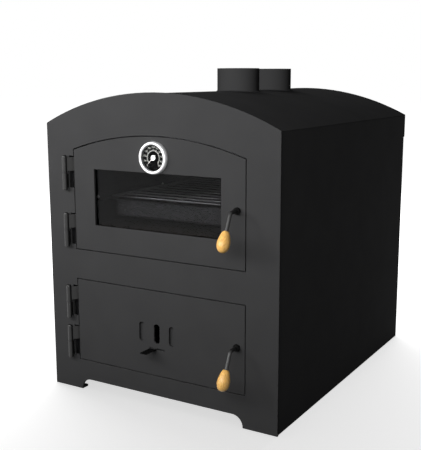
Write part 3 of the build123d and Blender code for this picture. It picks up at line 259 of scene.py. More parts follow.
# %% Uneven colour: patches a little lighter or darker than the rest
uneven, given, result = start_effect("uneven colour", ["Colour"], "Colour", "Count", "Amount")
sizes = {"Vector": given["Place"], "Scale": given["Count"], "Detail": 5.0}
patches = node(uneven, "ShaderNodeTexNoise", sizes).outputs["Fac"]
swing = maths(uneven, "MULTIPLY", maths(uneven, "SUBTRACT", patches, 0.5), given["Amount"])
level = maths(uneven, "ADD", maths(uneven, "MULTIPLY", swing, 2.0), 1.0)
scaled = node(uneven, "ShaderNodeVectorMath", {0: given["Colour"], "Scale": level}, operation="SCALE")
feed(uneven, result, {"Colour": scaled.outputs[0]})

# %% Fine relief: shallow bumps, such as the orange peel of powder paint
relief, given, result = start_effect("fine relief", ["Normal"], "Count", "Strength", "Height")
sizes = {"Vector": given["Place"], "Scale": given["Count"], "Detail": 3.0}
bumps = node(relief, "ShaderNodeTexNoise", sizes).outputs["Fac"]
sizes = {"Height": bumps, "Strength": given["Strength"], "Distance": given["Height"]}
feed(relief, result, {"Normal": node(relief, "ShaderNodeBump", sizes).outputs[0]})

# %% Specks: small round dots in random cells
specks, given, result = start_effect("specks", ["Mask"], "Count", "Size")
cells = node(specks, "ShaderNodeTexVoronoi", {"Vector": given["Place"], "Scale": given["Count"]}).outputs
chance = node(specks, "ShaderNodeSeparateColor", {0: cells["Color"]}).outputs[0]
radius = maths(specks, "MULTIPLY", chance, given["Size"])
feed(specks, result, {"Mask": maths(specks, "LESS_THAN", cells["Distance"], radius)})

# %% Grain: noise drawn out along one direction, for brushed steel and fibres
grain, given, result = start_effect("grain", ["Value", "Normal"], "Counts", "Height")
drawn = node(grain, "ShaderNodeVectorMath", {0: given["Place"], 1: given["Counts"]}, operation="MULTIPLY")
sizes = {"Vector": drawn.outputs[0], "Scale": 1.0, "Detail": 4.0}
strokes = node(grain, "ShaderNodeTexNoise", sizes).outputs["Fac"]
sizes = {"Height": strokes, "Strength": 0.5, "Distance": given["Height"]}
feed(grain, result, {"Value": strokes, "Normal": node(grain, "ShaderNodeBump", sizes).outputs[0]})
print("effects", [g.name for g in bpy.data.node_groups])

# %% [markdown]
# Finishes
#
# Each finish starts from one Principled shader with plain values and gets its colour, its
# roughness and its relief from the effects. The record names a finish for every part, so the
# materials are kept under those same names. A few more are looks for single pieces, such as
# the enamel of the rods. Recipes give counts per metre and heights in metres.

# %% A material with its shader and its coordinates
finishes = {}


def start_finish(name, colour, **plain):
    material = bpy.data.materials.new(name)
    material.use_nodes = True
    tree = material.node_tree
    shader = tree.nodes["Principled BSDF"].inputs
    feed(tree, shader, {"Base Color": colour})
    feed(tree, shader, {label.replace("_", " "): value for label, value in plain.items()})
    finishes[name] = material
    return tree, shader, node(tree, "ShaderNodeTexCoord").outputs["Object"]


# %% The effects as ingredients for the recipes
def effect(tree, group, place, **values):
    return node(tree, "ShaderNodeGroup", {"Place": place, **values}, node_tree=group).outputs


def tinted(tree, place, colour, count, amount):
    return effect(tree, uneven, place, Colour=colour, Count=count, Amount=amount)["Colour"]


def speckled(tree, place, count, size, share=1.0):
    return maths(tree, "MULTIPLY", effect(tree, specks, place, Count=count, Size=size)["Mask"], share)


def bumpy(tree, place, count, strength, height):
    return effect(tree, relief, place, Count=count, Strength=strength, Height=height)["Normal"]


def streaked(tree, strokes, colour, dark, light, share=1.0):
    """The colour darkened and lightened along the strokes. Share says how much of that shows."""
    streaks = mix_colours(tree, strokes["Value"], (dark, dark, dark), (light, light, light))
    return mix_colours(tree, share, colour, streaks, "MULTIPLY")


def rough_patches(tree, place, count, smooth, rough):
    value = node(tree, "ShaderNodeTexNoise", {"Vector": place, "Scale": count}).outputs["Fac"]
    ends = {"Value": value, "To Min": smooth, "To Max": rough}
    return node(tree, "ShaderNodeMapRange", ends).outputs[0]


# %% Coats: an uneven colour, and where it shows, uneven roughness and bumps
def coat_finish(name, colour, tint, patches=None, bumps=None, **plain):
    """A tint is a count and an amount, patches are a count, the smoothest and the roughest value,
    and bumps are a count, a strength and a height."""
    tree, shader, place = start_finish(name, colour, **plain)
    feed(tree, shader, {"Base Color": tinted(tree, place, colour, *tint)})
    if patches:
        feed(tree, shader, {"Roughness": rough_patches(tree, place, *patches)})
    if bumps:
        feed(tree, shader, {"Normal": bumpy(tree, place, *bumps)})


# %% Black stove paint: matt powder paint with an orange peel
PAINT = (0.054, 0.054, 0.055)
PAINT_PLAIN = {"Roughness": 0.7, "Specular_IOR_Level": 0.0}
PAINT_PATCHES = (35.0, 0.62, 0.80)
ORANGE_PEEL = (620.0, 0.35, 0.00012)
coat_finish("black_paint", PAINT, (14.0, 0.10), PAINT_PATCHES, ORANGE_PEEL, **PAINT_PLAIN)

# %% Gloss enamel on the rods and hinge barrels, dull enamel on the bushes
GLOSS_BLACK = (0.008, 0.008, 0.008)
DULL_BLACK = (0.006, 0.006, 0.006)
for name, colour, smooth, rough, shine in (
    ("gloss_enamel", GLOSS_BLACK, 0.30, 0.42, 0.5),
    ("dull_enamel", DULL_BLACK, 0.60, 0.75, 0.05),
):
    coat_finish(
        name, colour, tint=(60.0, 0.2), patches=(90.0, smooth, rough), bumps=(340.0, 0.2, 0.0001),
        Roughness=rough, Specular_IOR_Level=shine,
    )

# %% Near-white zinc on the rail bolts, a painted glint that shows in the dark oven, and dark washers in the hinges
coat_finish("zinc_with_painted_glint", (0.95, 0.95, 0.95), (500.0, 0.1), (400.0, 0.14, 0.24), Roughness=0.2)
coat_finish(
    "washer_steel", (0.035, 0.035, 0.037), (180.0, 0.35), (300.0, 0.36, 0.6), Roughness=0.4, Metallic=0.8
)

# %% Dial black, the white of its needle and the grey of its print
coat_finish("black_dial", (0.004, 0.004, 0.004), (300.0, 0.3), Roughness=0.6, Specular_IOR_Level=0.0)
coat_finish("white_needle", (0.80, 0.80, 0.79), (400.0, 0.08), Roughness=0.35)
coat_finish("pale_ink", (0.30, 0.30, 0.29), (500.0, 0.2), Roughness=0.7, Specular_IOR_Level=0.0)

# %% The air slider: sheet paint on its plate, and a painted shade, near black, on the tab in front of the door
TAB_STARTS = -0.352
tree, shader, place = start_finish("slider_paint_and_tab_shade", PAINT, **PAINT_PLAIN)
depth = node(tree, "ShaderNodeSeparateXYZ", {0: place}).outputs["Y"]
# Painted shade: the tab in front of the door is coloured near black, as if it lay in shadow.
tab_shade_mask = maths(tree, "LESS_THAN", depth, TAB_STARTS)
feed(tree, shader, {
    "Base Color": mix_colours(tree, tab_shade_mask, PAINT, DULL_BLACK),
    "Roughness": rough_patches(tree, place, *PAINT_PATCHES),
})

# %% Steel that stays bare: darker inside, bright on the screws
def steel_finish(name, colour, smooth, rough, counts, height):
    """The counts are numbers of strokes along x, y and z."""
    tree, shader, place = start_finish(name, colour, Roughness=rough, Metallic=1.0)
    strokes = effect(tree, grain, place, Counts=counts, Height=height)
    tint = tinted(tree, place, colour, count=9.0, amount=0.18)
    feed(tree, shader, {
        "Base Color": streaked(tree, strokes, tint, dark=0.8, light=1.15),
        "Roughness": rough_patches(tree, place, 60.0, smooth, rough),
        "Normal": strokes["Normal"],
    })


steel_finish("plain_steel", (0.12, 0.12, 0.125), 0.46, 0.66, (30.0, 900.0, 30.0), 0.00004)
steel_finish("bright_screws", (0.62, 0.63, 0.65), 0.16, 0.30, (700.0, 700.0, 60.0), 0.00002)
steel_finish("stainless_steel", (0.24, 0.24, 0.25), 0.52, 0.66, (900.0, 14.0, 900.0), 0.00003)
steel_finish("rack_wire", (0.46, 0.46, 0.47), 0.26, 0.36, (260.0, 260.0, 260.0), 0.00001)
steel_finish("chrome_bezel", (0.90, 0.90, 0.91), 0.42, 0.52, (60.0, 60.0, 60.0), 0.000005)

# %% Galvanised sheet: zinc crystals, each with its own grey
CRYSTAL_DARK = (0.33, 0.34, 0.36)
CRYSTAL_PALE = (0.52, 0.53, 0.55)
tree, shader, place = start_finish("galvanised_steel", (0.42, 0.43, 0.45), Roughness=0.42, Metallic=0.9)
crystals = node(tree, "ShaderNodeTexVoronoi", {"Vector": place, "Scale": 85.0}).outputs["Color"]
crystal = node(tree, "ShaderNodeSeparateColor", {0: crystals}).outputs
ends = {"Value": crystal[1], "To Min": 0.30, "To Max": 0.55}
feed(tree, shader, {
    "Base Color": mix_colours(tree, crystal[0], CRYSTAL_DARK, CRYSTAL_PALE),
    "Roughness": node(tree, "ShaderNodeMapRange", ends).outputs[0],
})

# %% Speckled enamel: glossy near-black glass with pale flecks
ENAMEL = (0.021, 0.021, 0.022)
FLECK = (0.15, 0.15, 0.155)
tree, shader, place = start_finish("speckled_enamel", ENAMEL, Roughness=0.35, Coat_Weight=0.15)
flecks = speckled(tree, place, count=420.0, size=0.55)
fine_flecks = speckled(tree, place, count=900.0, size=0.45, share=0.5)
feed(tree, shader, {
    "Base Color": mix_colours(tree, maths(tree, "MAXIMUM", flecks, fine_flecks), ENAMEL, FLECK),
    "Normal": bumpy(tree, place, count=300.0, strength=0.3, height=0.0001),
})

# %% Fire brick and vermiculite board: grainy, pitted and speckled
def brick_finish(name, colour, pale, dark, count, bump_count):
    tree, shader, place = start_finish(name, colour, Roughness=0.9, Specular_IOR_Level=0.2)
    body = tinted(tree, place, colour, count=26.0, amount=0.28)
    pale_grains = speckled(tree, place, count, size=0.6, share=0.6)
    pits = speckled(tree, place, count * 0.6, size=0.42, share=0.7)
    feed(tree, shader, {
        "Base Color": mix_colours(tree, pits, mix_colours(tree, pale_grains, body, pale), dark),
        "Normal": bumpy(tree, place, bump_count, strength=0.8, height=0.0006),
    })


brick_finish("fire_brick", (0.55, 0.42, 0.27), (0.75, 0.68, 0.55), (0.22, 0.14, 0.08), 330.0, 240.0)
# The floor tiles get a brick finish far darker than the fire brick of the lining.
brick_finish("dark_brick_tile", (0.050, 0.042, 0.034), (0.12, 0.10, 0.08), (0.015, 0.012, 0.010), 330.0, 240.0)
brick_finish("vermiculite_board", (0.46, 0.38, 0.25), (0.80, 0.68, 0.42), (0.18, 0.13, 0.08), 260.0, 180.0)

# %% Cast iron: sand-cast skin, nearly black
IRON = (0.045, 0.043, 0.042)
RUST = (0.12, 0.05, 0.025)
tree, shader, place = start_finish("cast_iron", IRON, Roughness=0.6, Metallic=0.6)
skin = tinted(tree, place, IRON, count=40.0, amount=0.35)
rusty = speckled(tree, place, count=140.0, size=0.35, share=0.35)
feed(tree, shader, {
    "Base Color": mix_colours(tree, rusty, skin, RUST),
    "Roughness": rough_patches(tree, place, count=90.0, smooth=0.45, rough=0.75),
    "Normal": bumpy(tree, place, count=420.0, strength=0.7, height=0.0004),
})

# %% Fibres: mineral wool, glass tape and the glass rope of the door seals
def fibre_finish(name, colour, counts, height):
    """The counts are numbers of fibres along x, y and z."""
    tree, shader, place = start_finish(
        name, colour, Roughness=0.95, Specular_IOR_Level=0.1, Sheen_Weight=0.2
    )
    fibres = effect(tree, grain, place, Counts=counts, Height=height)
    body = tinted(tree, place, colour, count=60.0, amount=0.3)
    colours = streaked(tree, fibres, body, dark=0.62, light=1.25)
    feed(tree, shader, {"Base Color": colours, "Normal": fibres["Normal"]})


fibre_finish("mineral_wool", (0.50, 0.44, 0.30), (90.0, 90.0, 520.0), 0.0012)
fibre_finish("glass_fibre_tape", (0.55, 0.54, 0.50), (900.0, 900.0, 900.0), 0.0003)
fibre_finish("glass_fibre_rope", (0.16, 0.16, 0.16), (1100.0, 1100.0, 1100.0), 0.0003)

# %% Turned wood: fine grain along the knob, oiled
WOOD_PALE = (1.0, 0.60, 0.16)
WOOD_DARK = (0.86, 0.38, 0.07)
tree, shader, place = start_finish(
    "turned_wood", WOOD_PALE, Roughness=0.42, Coat_Weight=0.25, Coat_Roughness=0.3
)
along = node(tree, "ShaderNodeMapping", {"Vector": place})
sizes = {"Vector": along.outputs[0], "Scale": 120.0, "Distortion": 5.0, "Detail": 3.0, "Detail Scale": 1.5}
rings = node(tree, "ShaderNodeTexWave", sizes, wave_type="RINGS", rings_direction="X").outputs["Fac"]
ringed = mix_colours(tree, maths(tree, "MULTIPLY", rings, 0.55), WOOD_PALE, WOOD_DARK)
board = tinted(tree, place, ringed, count=170.0, amount=0.30)
pores = effect(tree, grain, along.outputs[0], Counts=(900.0, 900.0, 90.0), Height=0.00008)
feed(tree, shader, {
    "Base Color": streaked(tree, pores, board, dark=0.72, light=1.2, share=0.45),
    "Roughness": rough_patches(tree, place, count=160.0, smooth=0.34, rough=0.5),
    "Normal": pores["Normal"],
})
wood_grain_turn = along.inputs["Rotation"]

# %% Glass: lamps shine through it, as they do through a real pane
def glass_finish(name, colour, index):
    tree, shader, place = start_finish(name, colour, Roughness=0.0, Transmission_Weight=1.0, IOR=index)
    feed(tree, shader, {"Roughness": rough_patches(tree, place, count=18.0, smooth=0.0, rough=0.03)})
    solid = tree.nodes["Principled BSDF"].outputs[0]
    clear = node(tree, "ShaderNodeBsdfTransparent", {"Color": colour}).outputs[0]
    shadow_ray = node(tree, "ShaderNodeLightPath").outputs["Is Shadow Ray"]
    let_through = node(tree, "ShaderNodeMixShader", {0: shadow_ray, 1: solid, 2: clear}).outputs[0]
    feed(tree, tree.nodes["Material Output"].inputs, {"Surface": let_through})


glass_finish("ceramic_glass", (0.36, 0.36, 0.37), index=1.19)
glass_finish("clear_glass", (0.95, 0.95, 0.95), index=1.04)
print("finishes", len(finishes), sorted(finishes))

# %% [markdown]
# Which body carries a part, and which finish it wears
#
# The record of the frame already answers both questions, so nothing has to be typed again. A
# new piece is finished in one call: it gets its material, rides on the body of the part it
# stands for and takes that part's finish.

# %% Bodies and finishes from the record
body_of = {part: body for body, parts in frame["record"]["behaviour"]["bodies"].items() for part in parts}
finish_of = {row["node"]: row["material_slot"] for row in frame["record"]["subparts"]}
for name, part in nodes.items():
    part.data.materials.clear()
    part.data.materials.append(finishes[finish_of[name]])


def dress(piece, *stands_for, finish=None, beside=None, look=None):
    """Gives the piece its finish and hangs it on the body of the parts it stands for or lies beside."""
    part = stands_for[0] if stands_for else beside
    finish = finish or finish_of[part]
    piece.data.materials.clear()
    piece.data.materials.append(finishes[look or finish])
    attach(piece, body_of[part])
    if stands_for:
        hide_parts(*stands_for)
    print(piece.name, "rides on", body_of[part], "faces", len(piece.data.polygons))


# %% [markdown]
# Rounded copies of the CAD parts
#
# A laser-cut sheet with powder paint on it has a soft edge of a few tenths of a millimetre.
# That edge catches the light and makes the part look real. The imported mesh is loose
# triangles, so the copy is merged first, its flat triangles are dissolved into whole faces,
# and then a Bevel modifier rounds every edge that is sharper than an angle. The Weighted
# Normal modifier keeps the big faces flat and lets only the narrow bevels curve.

# %% Selecting and shaping helpers
def pick(*pieces):
    if bpy.context.mode != "OBJECT":
        bpy.ops.object.mode_set(mode="OBJECT")
    bpy.ops.object.select_all(action="DESELECT")
    for piece in pieces:
        piece.select_set(True)
    bpy.context.view_layer.objects.active = pieces[0]


def edit_all(piece):
    """Opens the piece in edit mode with everything selected."""
    pick(piece)
    bpy.ops.object.mode_set(mode="EDIT")
    bpy.ops.mesh.select_all(action="SELECT")


def merge_points(distance):
    """Merges the points of the open piece that are closer together than a distance in mm."""
    bpy.ops.mesh.select_all(action="SELECT")
    bpy.ops.mesh.remove_doubles(threshold=distance * MM)


def face_outwards():
    """Turns every face of the open piece outwards and leaves edit mode."""
    bpy.ops.mesh.select_all(action="SELECT")
    bpy.ops.mesh.normals_make_consistent(inside=False)
    bpy.ops.object.mode_set(mode="OBJECT")


def apply_modifier(piece, kind, **settings):
    pick(piece)
    added = piece.modifiers.new(kind.lower(), kind)
    for name, value in settings.items():
        setattr(added, name, value)
    bpy.ops.object.modifier_apply(modifier=added.name)


def shade(piece, angle=50.0):
    pick(piece)
    bpy.ops.object.shade_smooth_by_angle(angle=math.radians(angle))
    apply_modifier(piece, "WEIGHTED_NORMAL", keep_sharp=True, weight=90)


def merged_copy(part, name):
    pick(nodes[part])
    piece = nodes[part].copy()
    piece.data = nodes[part].data.copy()
    piece.name = name
    piece.parent = None
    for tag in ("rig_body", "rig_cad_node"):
        del piece[tag]
    bpy.context.scene.collection.objects.link(piece)
    edit_all(piece)
    merge_points(0.002)
    bpy.ops.mesh.dissolve_degenerate(threshold=0.01 * MM)
    bpy.ops.mesh.dissolve_limited(angle_limit=math.radians(0.3))
    bpy.ops.object.mode_set(mode="OBJECT")
    return piece


SHARP_EDGE = math.radians(38.0)


def rounded_copy(part, width, look=None, segments=2):
    piece = merged_copy(part, part + "_rounded")
    apply_modifier(
        piece, "BEVEL",
        width=width * MM, segments=segments, limit_method="ANGLE",
        angle_limit=SHARP_EDGE, use_clamp_overlap=False,
    )
    shade(piece)
    dress(piece, part, look=look)


# %% Painted sheets, doors and seal channels, with the width of their soft edges in mm
EDGE_WIDTHS = {
    0.7: ["front_plate", "upper_door_plate", "lower_door_plate"],
    0.4: ["left_side_panel", "right_side_panel", "roof_sheet", "rear_panel", "base_plate", "vent_pipe",
          "smoke_flue", "slider_guides", "upper_mouth_frame", "lower_mouth_frame"],
    0.2: ["upper_seal_channel", "lower_seal_channel"],
}
for width, parts in EDGE_WIDTHS.items():
    for part in parts:
        rounded_copy(part, width)

# %% Handles and hinges wear enamel darker than the paint of the sheets, the air slider's tab a painted shade
for deck in ("upper", "lower"):
    rounded_copy(f"{deck}_handle_rod", 0.4, look="gloss_enamel")
    rounded_copy(f"{deck}_handle_bush", 0.8, look="dull_enamel", segments=3)
    rounded_copy(f"{deck}_door_knuckles", 0.6, look="gloss_enamel")
rounded_copy("frame_knuckles", 0.6, look="gloss_enamel")
# The slider's plate has the sheets' paint, and its tab a painted shade.
rounded_copy("air_slider", 0.4, look="slider_paint_and_tab_shade")

# %% Hinge pins and washers, the steel inside, latches, clips, nuts and the window pane
for part, width in {
    "hinge_pins": 0.3, "hinge_washers": 0.2, "rack_rails": 0.3, "firebox_floor": 0.3, "fire_grate": 1.2,
    "thermometer_stem": 0.3, "glass_clips": 0.25, "upper_latch_tongue": 0.5, "lower_latch_tongue": 0.5,
    "window_glass": 0.6,
}.items():
    rounded_copy(part, width)
for part in ("stem_nut", "upper_latch_nut", "lower_latch_nut"):
    rounded_copy(part, 0.5, segments=3)

# %% [markdown]
# Turning on a lathe
#
# Knobs, the dial's parts, screws and bolts are round about one axis, like turned things.
# Blender's Spin operator works as a lathe: an outline is drawn as a chain of points and spun
# once round the axis. The chain starts from a plane that is merged into one vertex, which is
# then extruded from point to point. Doubles on the axis are merged, and the normals are made
# to face outwards afterwards, because Spin can turn a shape inside out.

# %% Lathe helpers
def settle(piece):
    """Puts the piece's place, turn and scale into its mesh, so that its object sits at the origin."""
    pick(piece)
    bpy.ops.object.transform_apply(location=True, rotation=True, scale=True)
    return piece


def extrude(step):
    bpy.ops.mesh.extrude_region_move(TRANSFORM_OT_translate={"value": step})


def draw_chain(name, places):
    """A chain of points, drawn by extruding one vertex from place to place. It stays in edit mode."""
    pick(camera)
    bpy.ops.object.select_all(action="DESELECT")
    bpy.ops.mesh.primitive_plane_add(size=MM, location=places[0])
    piece = bpy.context.object
    piece.name = name
    bpy.ops.object.mode_set(mode="EDIT")
    bpy.ops.mesh.merge(type="CENTER")
    for start, end in zip(places, places[1:]):
        extrude(end - start)
    return piece


def lathe(name, outline, centre, axis, across, steps):
    """Spins points, each a distance from the axis and a distance along it in mm, once round the axis."""
    centre, axis, across = Vector(centre), Vector(axis).normalized(), Vector(across).normalized()
    places = [centre + across * radius * MM + axis * along * MM for radius, along in outline]
    piece = draw_chain(name, places)
    merge_points(0.001)
    bpy.ops.mesh.spin(steps=steps, angle=math.tau, center=centre, axis=axis)
    merge_points(0.01)
    face_outwards()
    return settle(piece)


# %% [markdown]
# The wooden knobs
#
# Each knob is an egg of beech with its blunt end down and a flat end where the rod enters.
# Its axis leans, so it is measured on the CAD knob, as the direction in which its points
# spread the furthest. A few outline points and a Subdivision Surface give the soft swell of
# turned wood, which draws in to a small flat shoulder round the rod.

# %% Axis of a long part
AXIS_ROUNDS = 40


def min_corner(points):
    return Vector(min(p[i] for p in points) for i in range(3))


def max_corner(points):
    return Vector(max(p[i] for p in points) for i in range(3))


def long_axis(part, towards):
    """Middle, direction and both ends. Every round turns the axis nearer to the widest spread."""
    points = [v.co.copy() for v in nodes[part].data.vertices]
    middle = (min_corner(points) + max_corner(points)) / 2
    directions = [p - middle for p in points]
    axis = Vector(towards).normalized()
    for _ in range(AXIS_ROUNDS):
        axis = sum((d * d.dot(axis) for d in directions), Vector()).normalized()
    along = [d.dot(axis) for d in directions]
    return middle, axis, min(along), max(along)


# %% Knobs
KNOB_RADIUS = 13.4
KNOB_SETBACK = 1.7
EGG = (
    (0.0, 1.004), (0.32, 0.99), (0.66, 0.925), (0.92, 0.80), (1.03, 0.62), (0.97, 0.43), (0.83, 0.26),
    (0.69, 0.145), (0.58, 0.070), (0.47, 0.020), (0.39, 0.0), (0.335, 0.0), (0.31, 0.01), (0.31, 0.12),
    (0.0, 0.12),
)


def wooden_knob(part, name):
    middle, axis, low_end, high_end = long_axis(part, (0.0, 0.0, -1.0))
    swell = (high_end - low_end) / MM - 2 * KNOB_SETBACK
    outline = [(radius * KNOB_RADIUS, KNOB_SETBACK + along * swell) for radius, along in EGG]
    knob = lathe(name, outline, middle + axis * low_end, axis, axis.cross((0, 1, 0)), steps=28)
    apply_modifier(knob, "SUBSURF", levels=2, render_levels=2)
    pick(knob)
    bpy.ops.object.shade_smooth()
    dress(knob, part)
    return axis


knob_axis = wooden_knob("upper_knob", "upper_wooden_knob")
wooden_knob("lower_knob", "lower_wooden_knob")
lean = Vector((0, 0, 1)).rotation_difference(knob_axis).inverted().to_euler()
wood_grain_turn.default_value = lean
print("knob axis", [round(v, 3) for v in knob_axis])

# %% [markdown]
# The dial thermometer
#
# A bought-in gauge: a satin cup with a rolled rim, a black face, a bright needle with a wide
# hub and a slightly domed glass. Its centre is measured on the CAD case. The numbers are
# plain: nought to five hundred round three quarters of a turn. Text is set as type, made into
# a mesh, stood upright and then moved to its place on the scale.

# %% Cup, face and glass
DOOR_FRONT = -349.0
case_low, case_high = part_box("thermometer_case")
DIAL_CENTRE = Vector((0.0, DOOR_FRONT * MM, (case_low.z + case_high.z) / 2))
TO_VIEWER = Vector((0, -1, 0))
SIDEWAYS = Vector((1, 0, 0))
CUP = (
    (35.1, 0.0), (35.5, 0.4), (35.4, 1.2), (34.6, 4.6), (34.2, 5.0), (34.2, 5.3), (34.6, 5.7), (34.7, 6.6),
    (34.4, 7.8), (33.6, 8.9), (32.4, 9.7), (31.0, 10.0), (29.9, 9.6), (29.0, 8.8), (28.5, 8.0),
    (28.3, 7.6), (28.3, 1.0), (6.4, 1.0), (6.4, 0.0), (35.1, 0.0),
)
FACE = ((0.0, 2.5), (27.8, 2.5), (28.1, 2.3), (28.1, 1.5), (0.0, 1.5))
GLASS = ((0.0, 8.3), (9.0, 8.22), (18.0, 7.98), (28.1, 7.55), (28.1, 6.2), (0.0, 6.2))
for name, outline, part in (
    ("thermometer_cup", CUP, "thermometer_case"),
    ("thermometer_face", FACE, "thermometer_dial"),
    ("thermometer_glass", GLASS, "thermometer_lens"),
):
    piece = lathe(name, outline, DIAL_CENTRE, TO_VIEWER, SIDEWAYS, steps=96)
    shade(piece, angle=30.0)
    dress(piece, part)

# %% Placing something on the dial
SCALE_START = 225.0
SCALE_TURN = 270.0
PRINT_HEIGHT = 2.58


def on_dial(radius, turn):
    """A place on the scale: turn runs clockwise in degrees from the first mark at the lower left."""
    angle = math.radians(SCALE_START - turn)
    outwards = Vector((math.cos(angle), 0, math.sin(angle)))
    return DIAL_CENTRE + outwards * radius * MM + TO_VIEWER * PRINT_HEIGHT * MM


def join_pieces(name, pieces):
    pick(*pieces)
    bpy.ops.object.join()
    whole = bpy.context.object
    whole.name = name
    return whole


# %% Marks on the scale, each fifth one longer and wider
MARK_COUNT = 50
MARK_INNER = 15.4
MARK_DEPTH = 0.16
LONG_MARK = (18.6, 0.7)
SHORT_MARK = (17.2, 0.35)
UPRIGHT_TURN = SCALE_START - 90.0
printed = []
pick(camera)
for step in range(MARK_COUNT + 1):
    turn = step * SCALE_TURN / MARK_COUNT
    outer, width = SHORT_MARK if step % 5 else LONG_MARK
    bpy.ops.mesh.primitive_cube_add(size=1.0, location=on_dial((MARK_INNER + outer) / 2, turn))
    mark = bpy.context.object
    mark.scale = (width * MM, MARK_DEPTH * MM, (outer - MARK_INNER) * MM)
    mark.rotation_euler = (0, math.radians(turn - UPRIGHT_TURN), 0)
    printed.append(mark)
print("marks", len(printed))

# %% Numbers on the scale
NUMBER_COUNT = 10
NUMBER_STEP = 50
NUMBER_RADIUS = 22.9
NUMBER_SIZE = 5.8
NUMBER_DEPTH = 0.05
for step in range(NUMBER_COUNT + 1):
    pick(camera)
    bpy.ops.object.text_add()
    number = bpy.context.object
    number.data.body = str(step * NUMBER_STEP)
    number.data.size = NUMBER_SIZE * MM
    number.data.align_x, number.data.align_y = "CENTER", "CENTER"
    number.data.extrude = NUMBER_DEPTH * MM
    number.data.resolution_u = 3
    pick(number)
    bpy.ops.object.convert(target="MESH")
    number.rotation_euler = (math.pi / 2, 0, 0)
    number.location = on_dial(NUMBER_RADIUS, step * SCALE_TURN / NUMBER_COUNT)
    printed.append(number)
print("marks and numbers", len(printed))

# %% A pale arc just inside the marks, drawn as a chain, widened and given its thickness
ARC_RADIUS = 14.6
ARC_WIDENING = (1.06, 1.0, 1.06)
ARC_DEPTH = 0.1
ARC_PARTS = 60
arc_places = [on_dial(ARC_RADIUS, step * SCALE_TURN / ARC_PARTS) for step in range(ARC_PARTS + 1)]
printed.append(draw_chain("dial_arc", arc_places))
bpy.ops.mesh.select_all(action="SELECT")
bpy.ops.mesh.extrude_region_move()
bpy.ops.transform.resize(value=ARC_WIDENING, center_override=DIAL_CENTRE)
bpy.ops.mesh.select_all(action="SELECT")
extrude(TO_VIEWER * ARC_DEPTH * MM)
face_outwards()
dial_print = join_pieces("dial_print", printed)
settle(dial_print)
dress(dial_print, beside="thermometer_dial", finish="white_needle", look="pale_ink")

# %% Needle and hub
NEEDLE_REST = math.radians(SCALE_START)
NEEDLE_HEIGHT = 3.2
BLADE_DEPTH = 0.5
BLADE = (
    (18.0, 0.18), (6.0, 0.5), (-5.0, 0.5), (-8.0, 0.7), (-8.0, -0.7), (-5.0, -0.5), (6.0, -0.5),
    (18.0, -0.18), (18.0, 0.18),
)
HUB = ((0.0, 5.3), (2.4, 5.2), (4.2, 4.8), (5.4, 4.2), (5.8, 3.6), (5.8, 3.0), (0.0, 3.0))
outwards = Vector((math.cos(NEEDLE_REST), 0, math.sin(NEEDLE_REST)))
sideways = outwards.cross(TO_VIEWER)
root = DIAL_CENTRE + TO_VIEWER * NEEDLE_HEIGHT * MM
corners = [root + outwards * along * MM + sideways * aside * MM for along, aside in BLADE]
blade = draw_chain("needle_blade", corners)
merge_points(0.01)
bpy.ops.mesh.edge_face_add()
extrude(TO_VIEWER * BLADE_DEPTH * MM)
face_outwards()
settle(blade)
hub = lathe("needle_hub", HUB, DIAL_CENTRE, TO_VIEWER, SIDEWAYS, steps=48)
needle = join_pieces("gauge_needle", [hub, blade])
shade(needle, angle=30.0)
dress(needle, "thermometer_needle")

# %% [markdown]
# Rope seals
#
# A door of a stove closes on a rope of glass fibre that is glued into a channel on its back.
# The rope is four strands laid round each other and pressed a little flat. Its middle line is
# a rounded frame, arched at the top on the upper door. Each strand is a helix round that line
# with a whole number of turns, so that it closes on itself, and a curve with a round bevel
# gives it thickness. The curve is then made a mesh, because its place has to be in the mesh.

# %% Middle line of a door's seal
SEAL_HALF = 187.0
SEAL_CORNER = 14.0
ARCH_MIDDLE = 31.7
SEAL_ENDS = {"upper": (363.0, 559.0), "lower": (84.0, 261.0)}
ROUND_STEPS = 8
ARCH_STEPS = 40


def arc_points(middle, radius, start, end, steps):
    turns = [start + (end - start) * step / steps for step in range(steps + 1)]
    return [(middle[0] + radius * math.cos(turn), middle[1] + radius * math.sin(turn)) for turn in turns]


def seal_line(deck):
    bottom, top = SEAL_ENDS[deck]
    side = SEAL_HALF - SEAL_CORNER
    low = bottom + SEAL_CORNER
    if deck == "upper":
        rise = math.sqrt((top - ARCH_MIDDLE - SEAL_CORNER) ** 2 - side**2)
        high, turn = ARCH_MIDDLE + rise, math.atan2(rise, side)
    else:
        high, turn = top - SEAL_CORNER, math.pi / 2
    line = arc_points((-side, low), SEAL_CORNER, math.pi, 1.5 * math.pi, ROUND_STEPS)
    line += arc_points((side, low), SEAL_CORNER, 1.5 * math.pi, math.tau, ROUND_STEPS)
    line += arc_points((side, high), SEAL_CORNER, 0.0, turn, ROUND_STEPS)
    if deck == "upper":
        line += arc_points((0, ARCH_MIDDLE), top - ARCH_MIDDLE, turn, math.pi - turn, ARCH_STEPS)
    line += arc_points((-side, high), SEAL_CORNER, math.pi - turn, math.pi, ROUND_STEPS)
    return [Vector((across, 0, up)) for across, up in line]


# %% Even steps along a closed line, which may hold the same point twice
NO_LENGTH = 1e-9


def even_steps(line, step):
    closed = line + line[:1]
    lengths = [(b - a).length for a, b in zip(closed, closed[1:])]
    count = round(sum(lengths) / step)
    stride = sum(lengths) / count
    places, walked, index = [], 0.0, 0
    for number in range(count):
        while index < len(lengths) - 1 and walked + lengths[index] < number * stride:
            walked += lengths[index]
            index += 1
        share = (number * stride - walked) / max(lengths[index], NO_LENGTH)
        places.append(closed[index].lerp(closed[index + 1], share))
    return places, stride * count


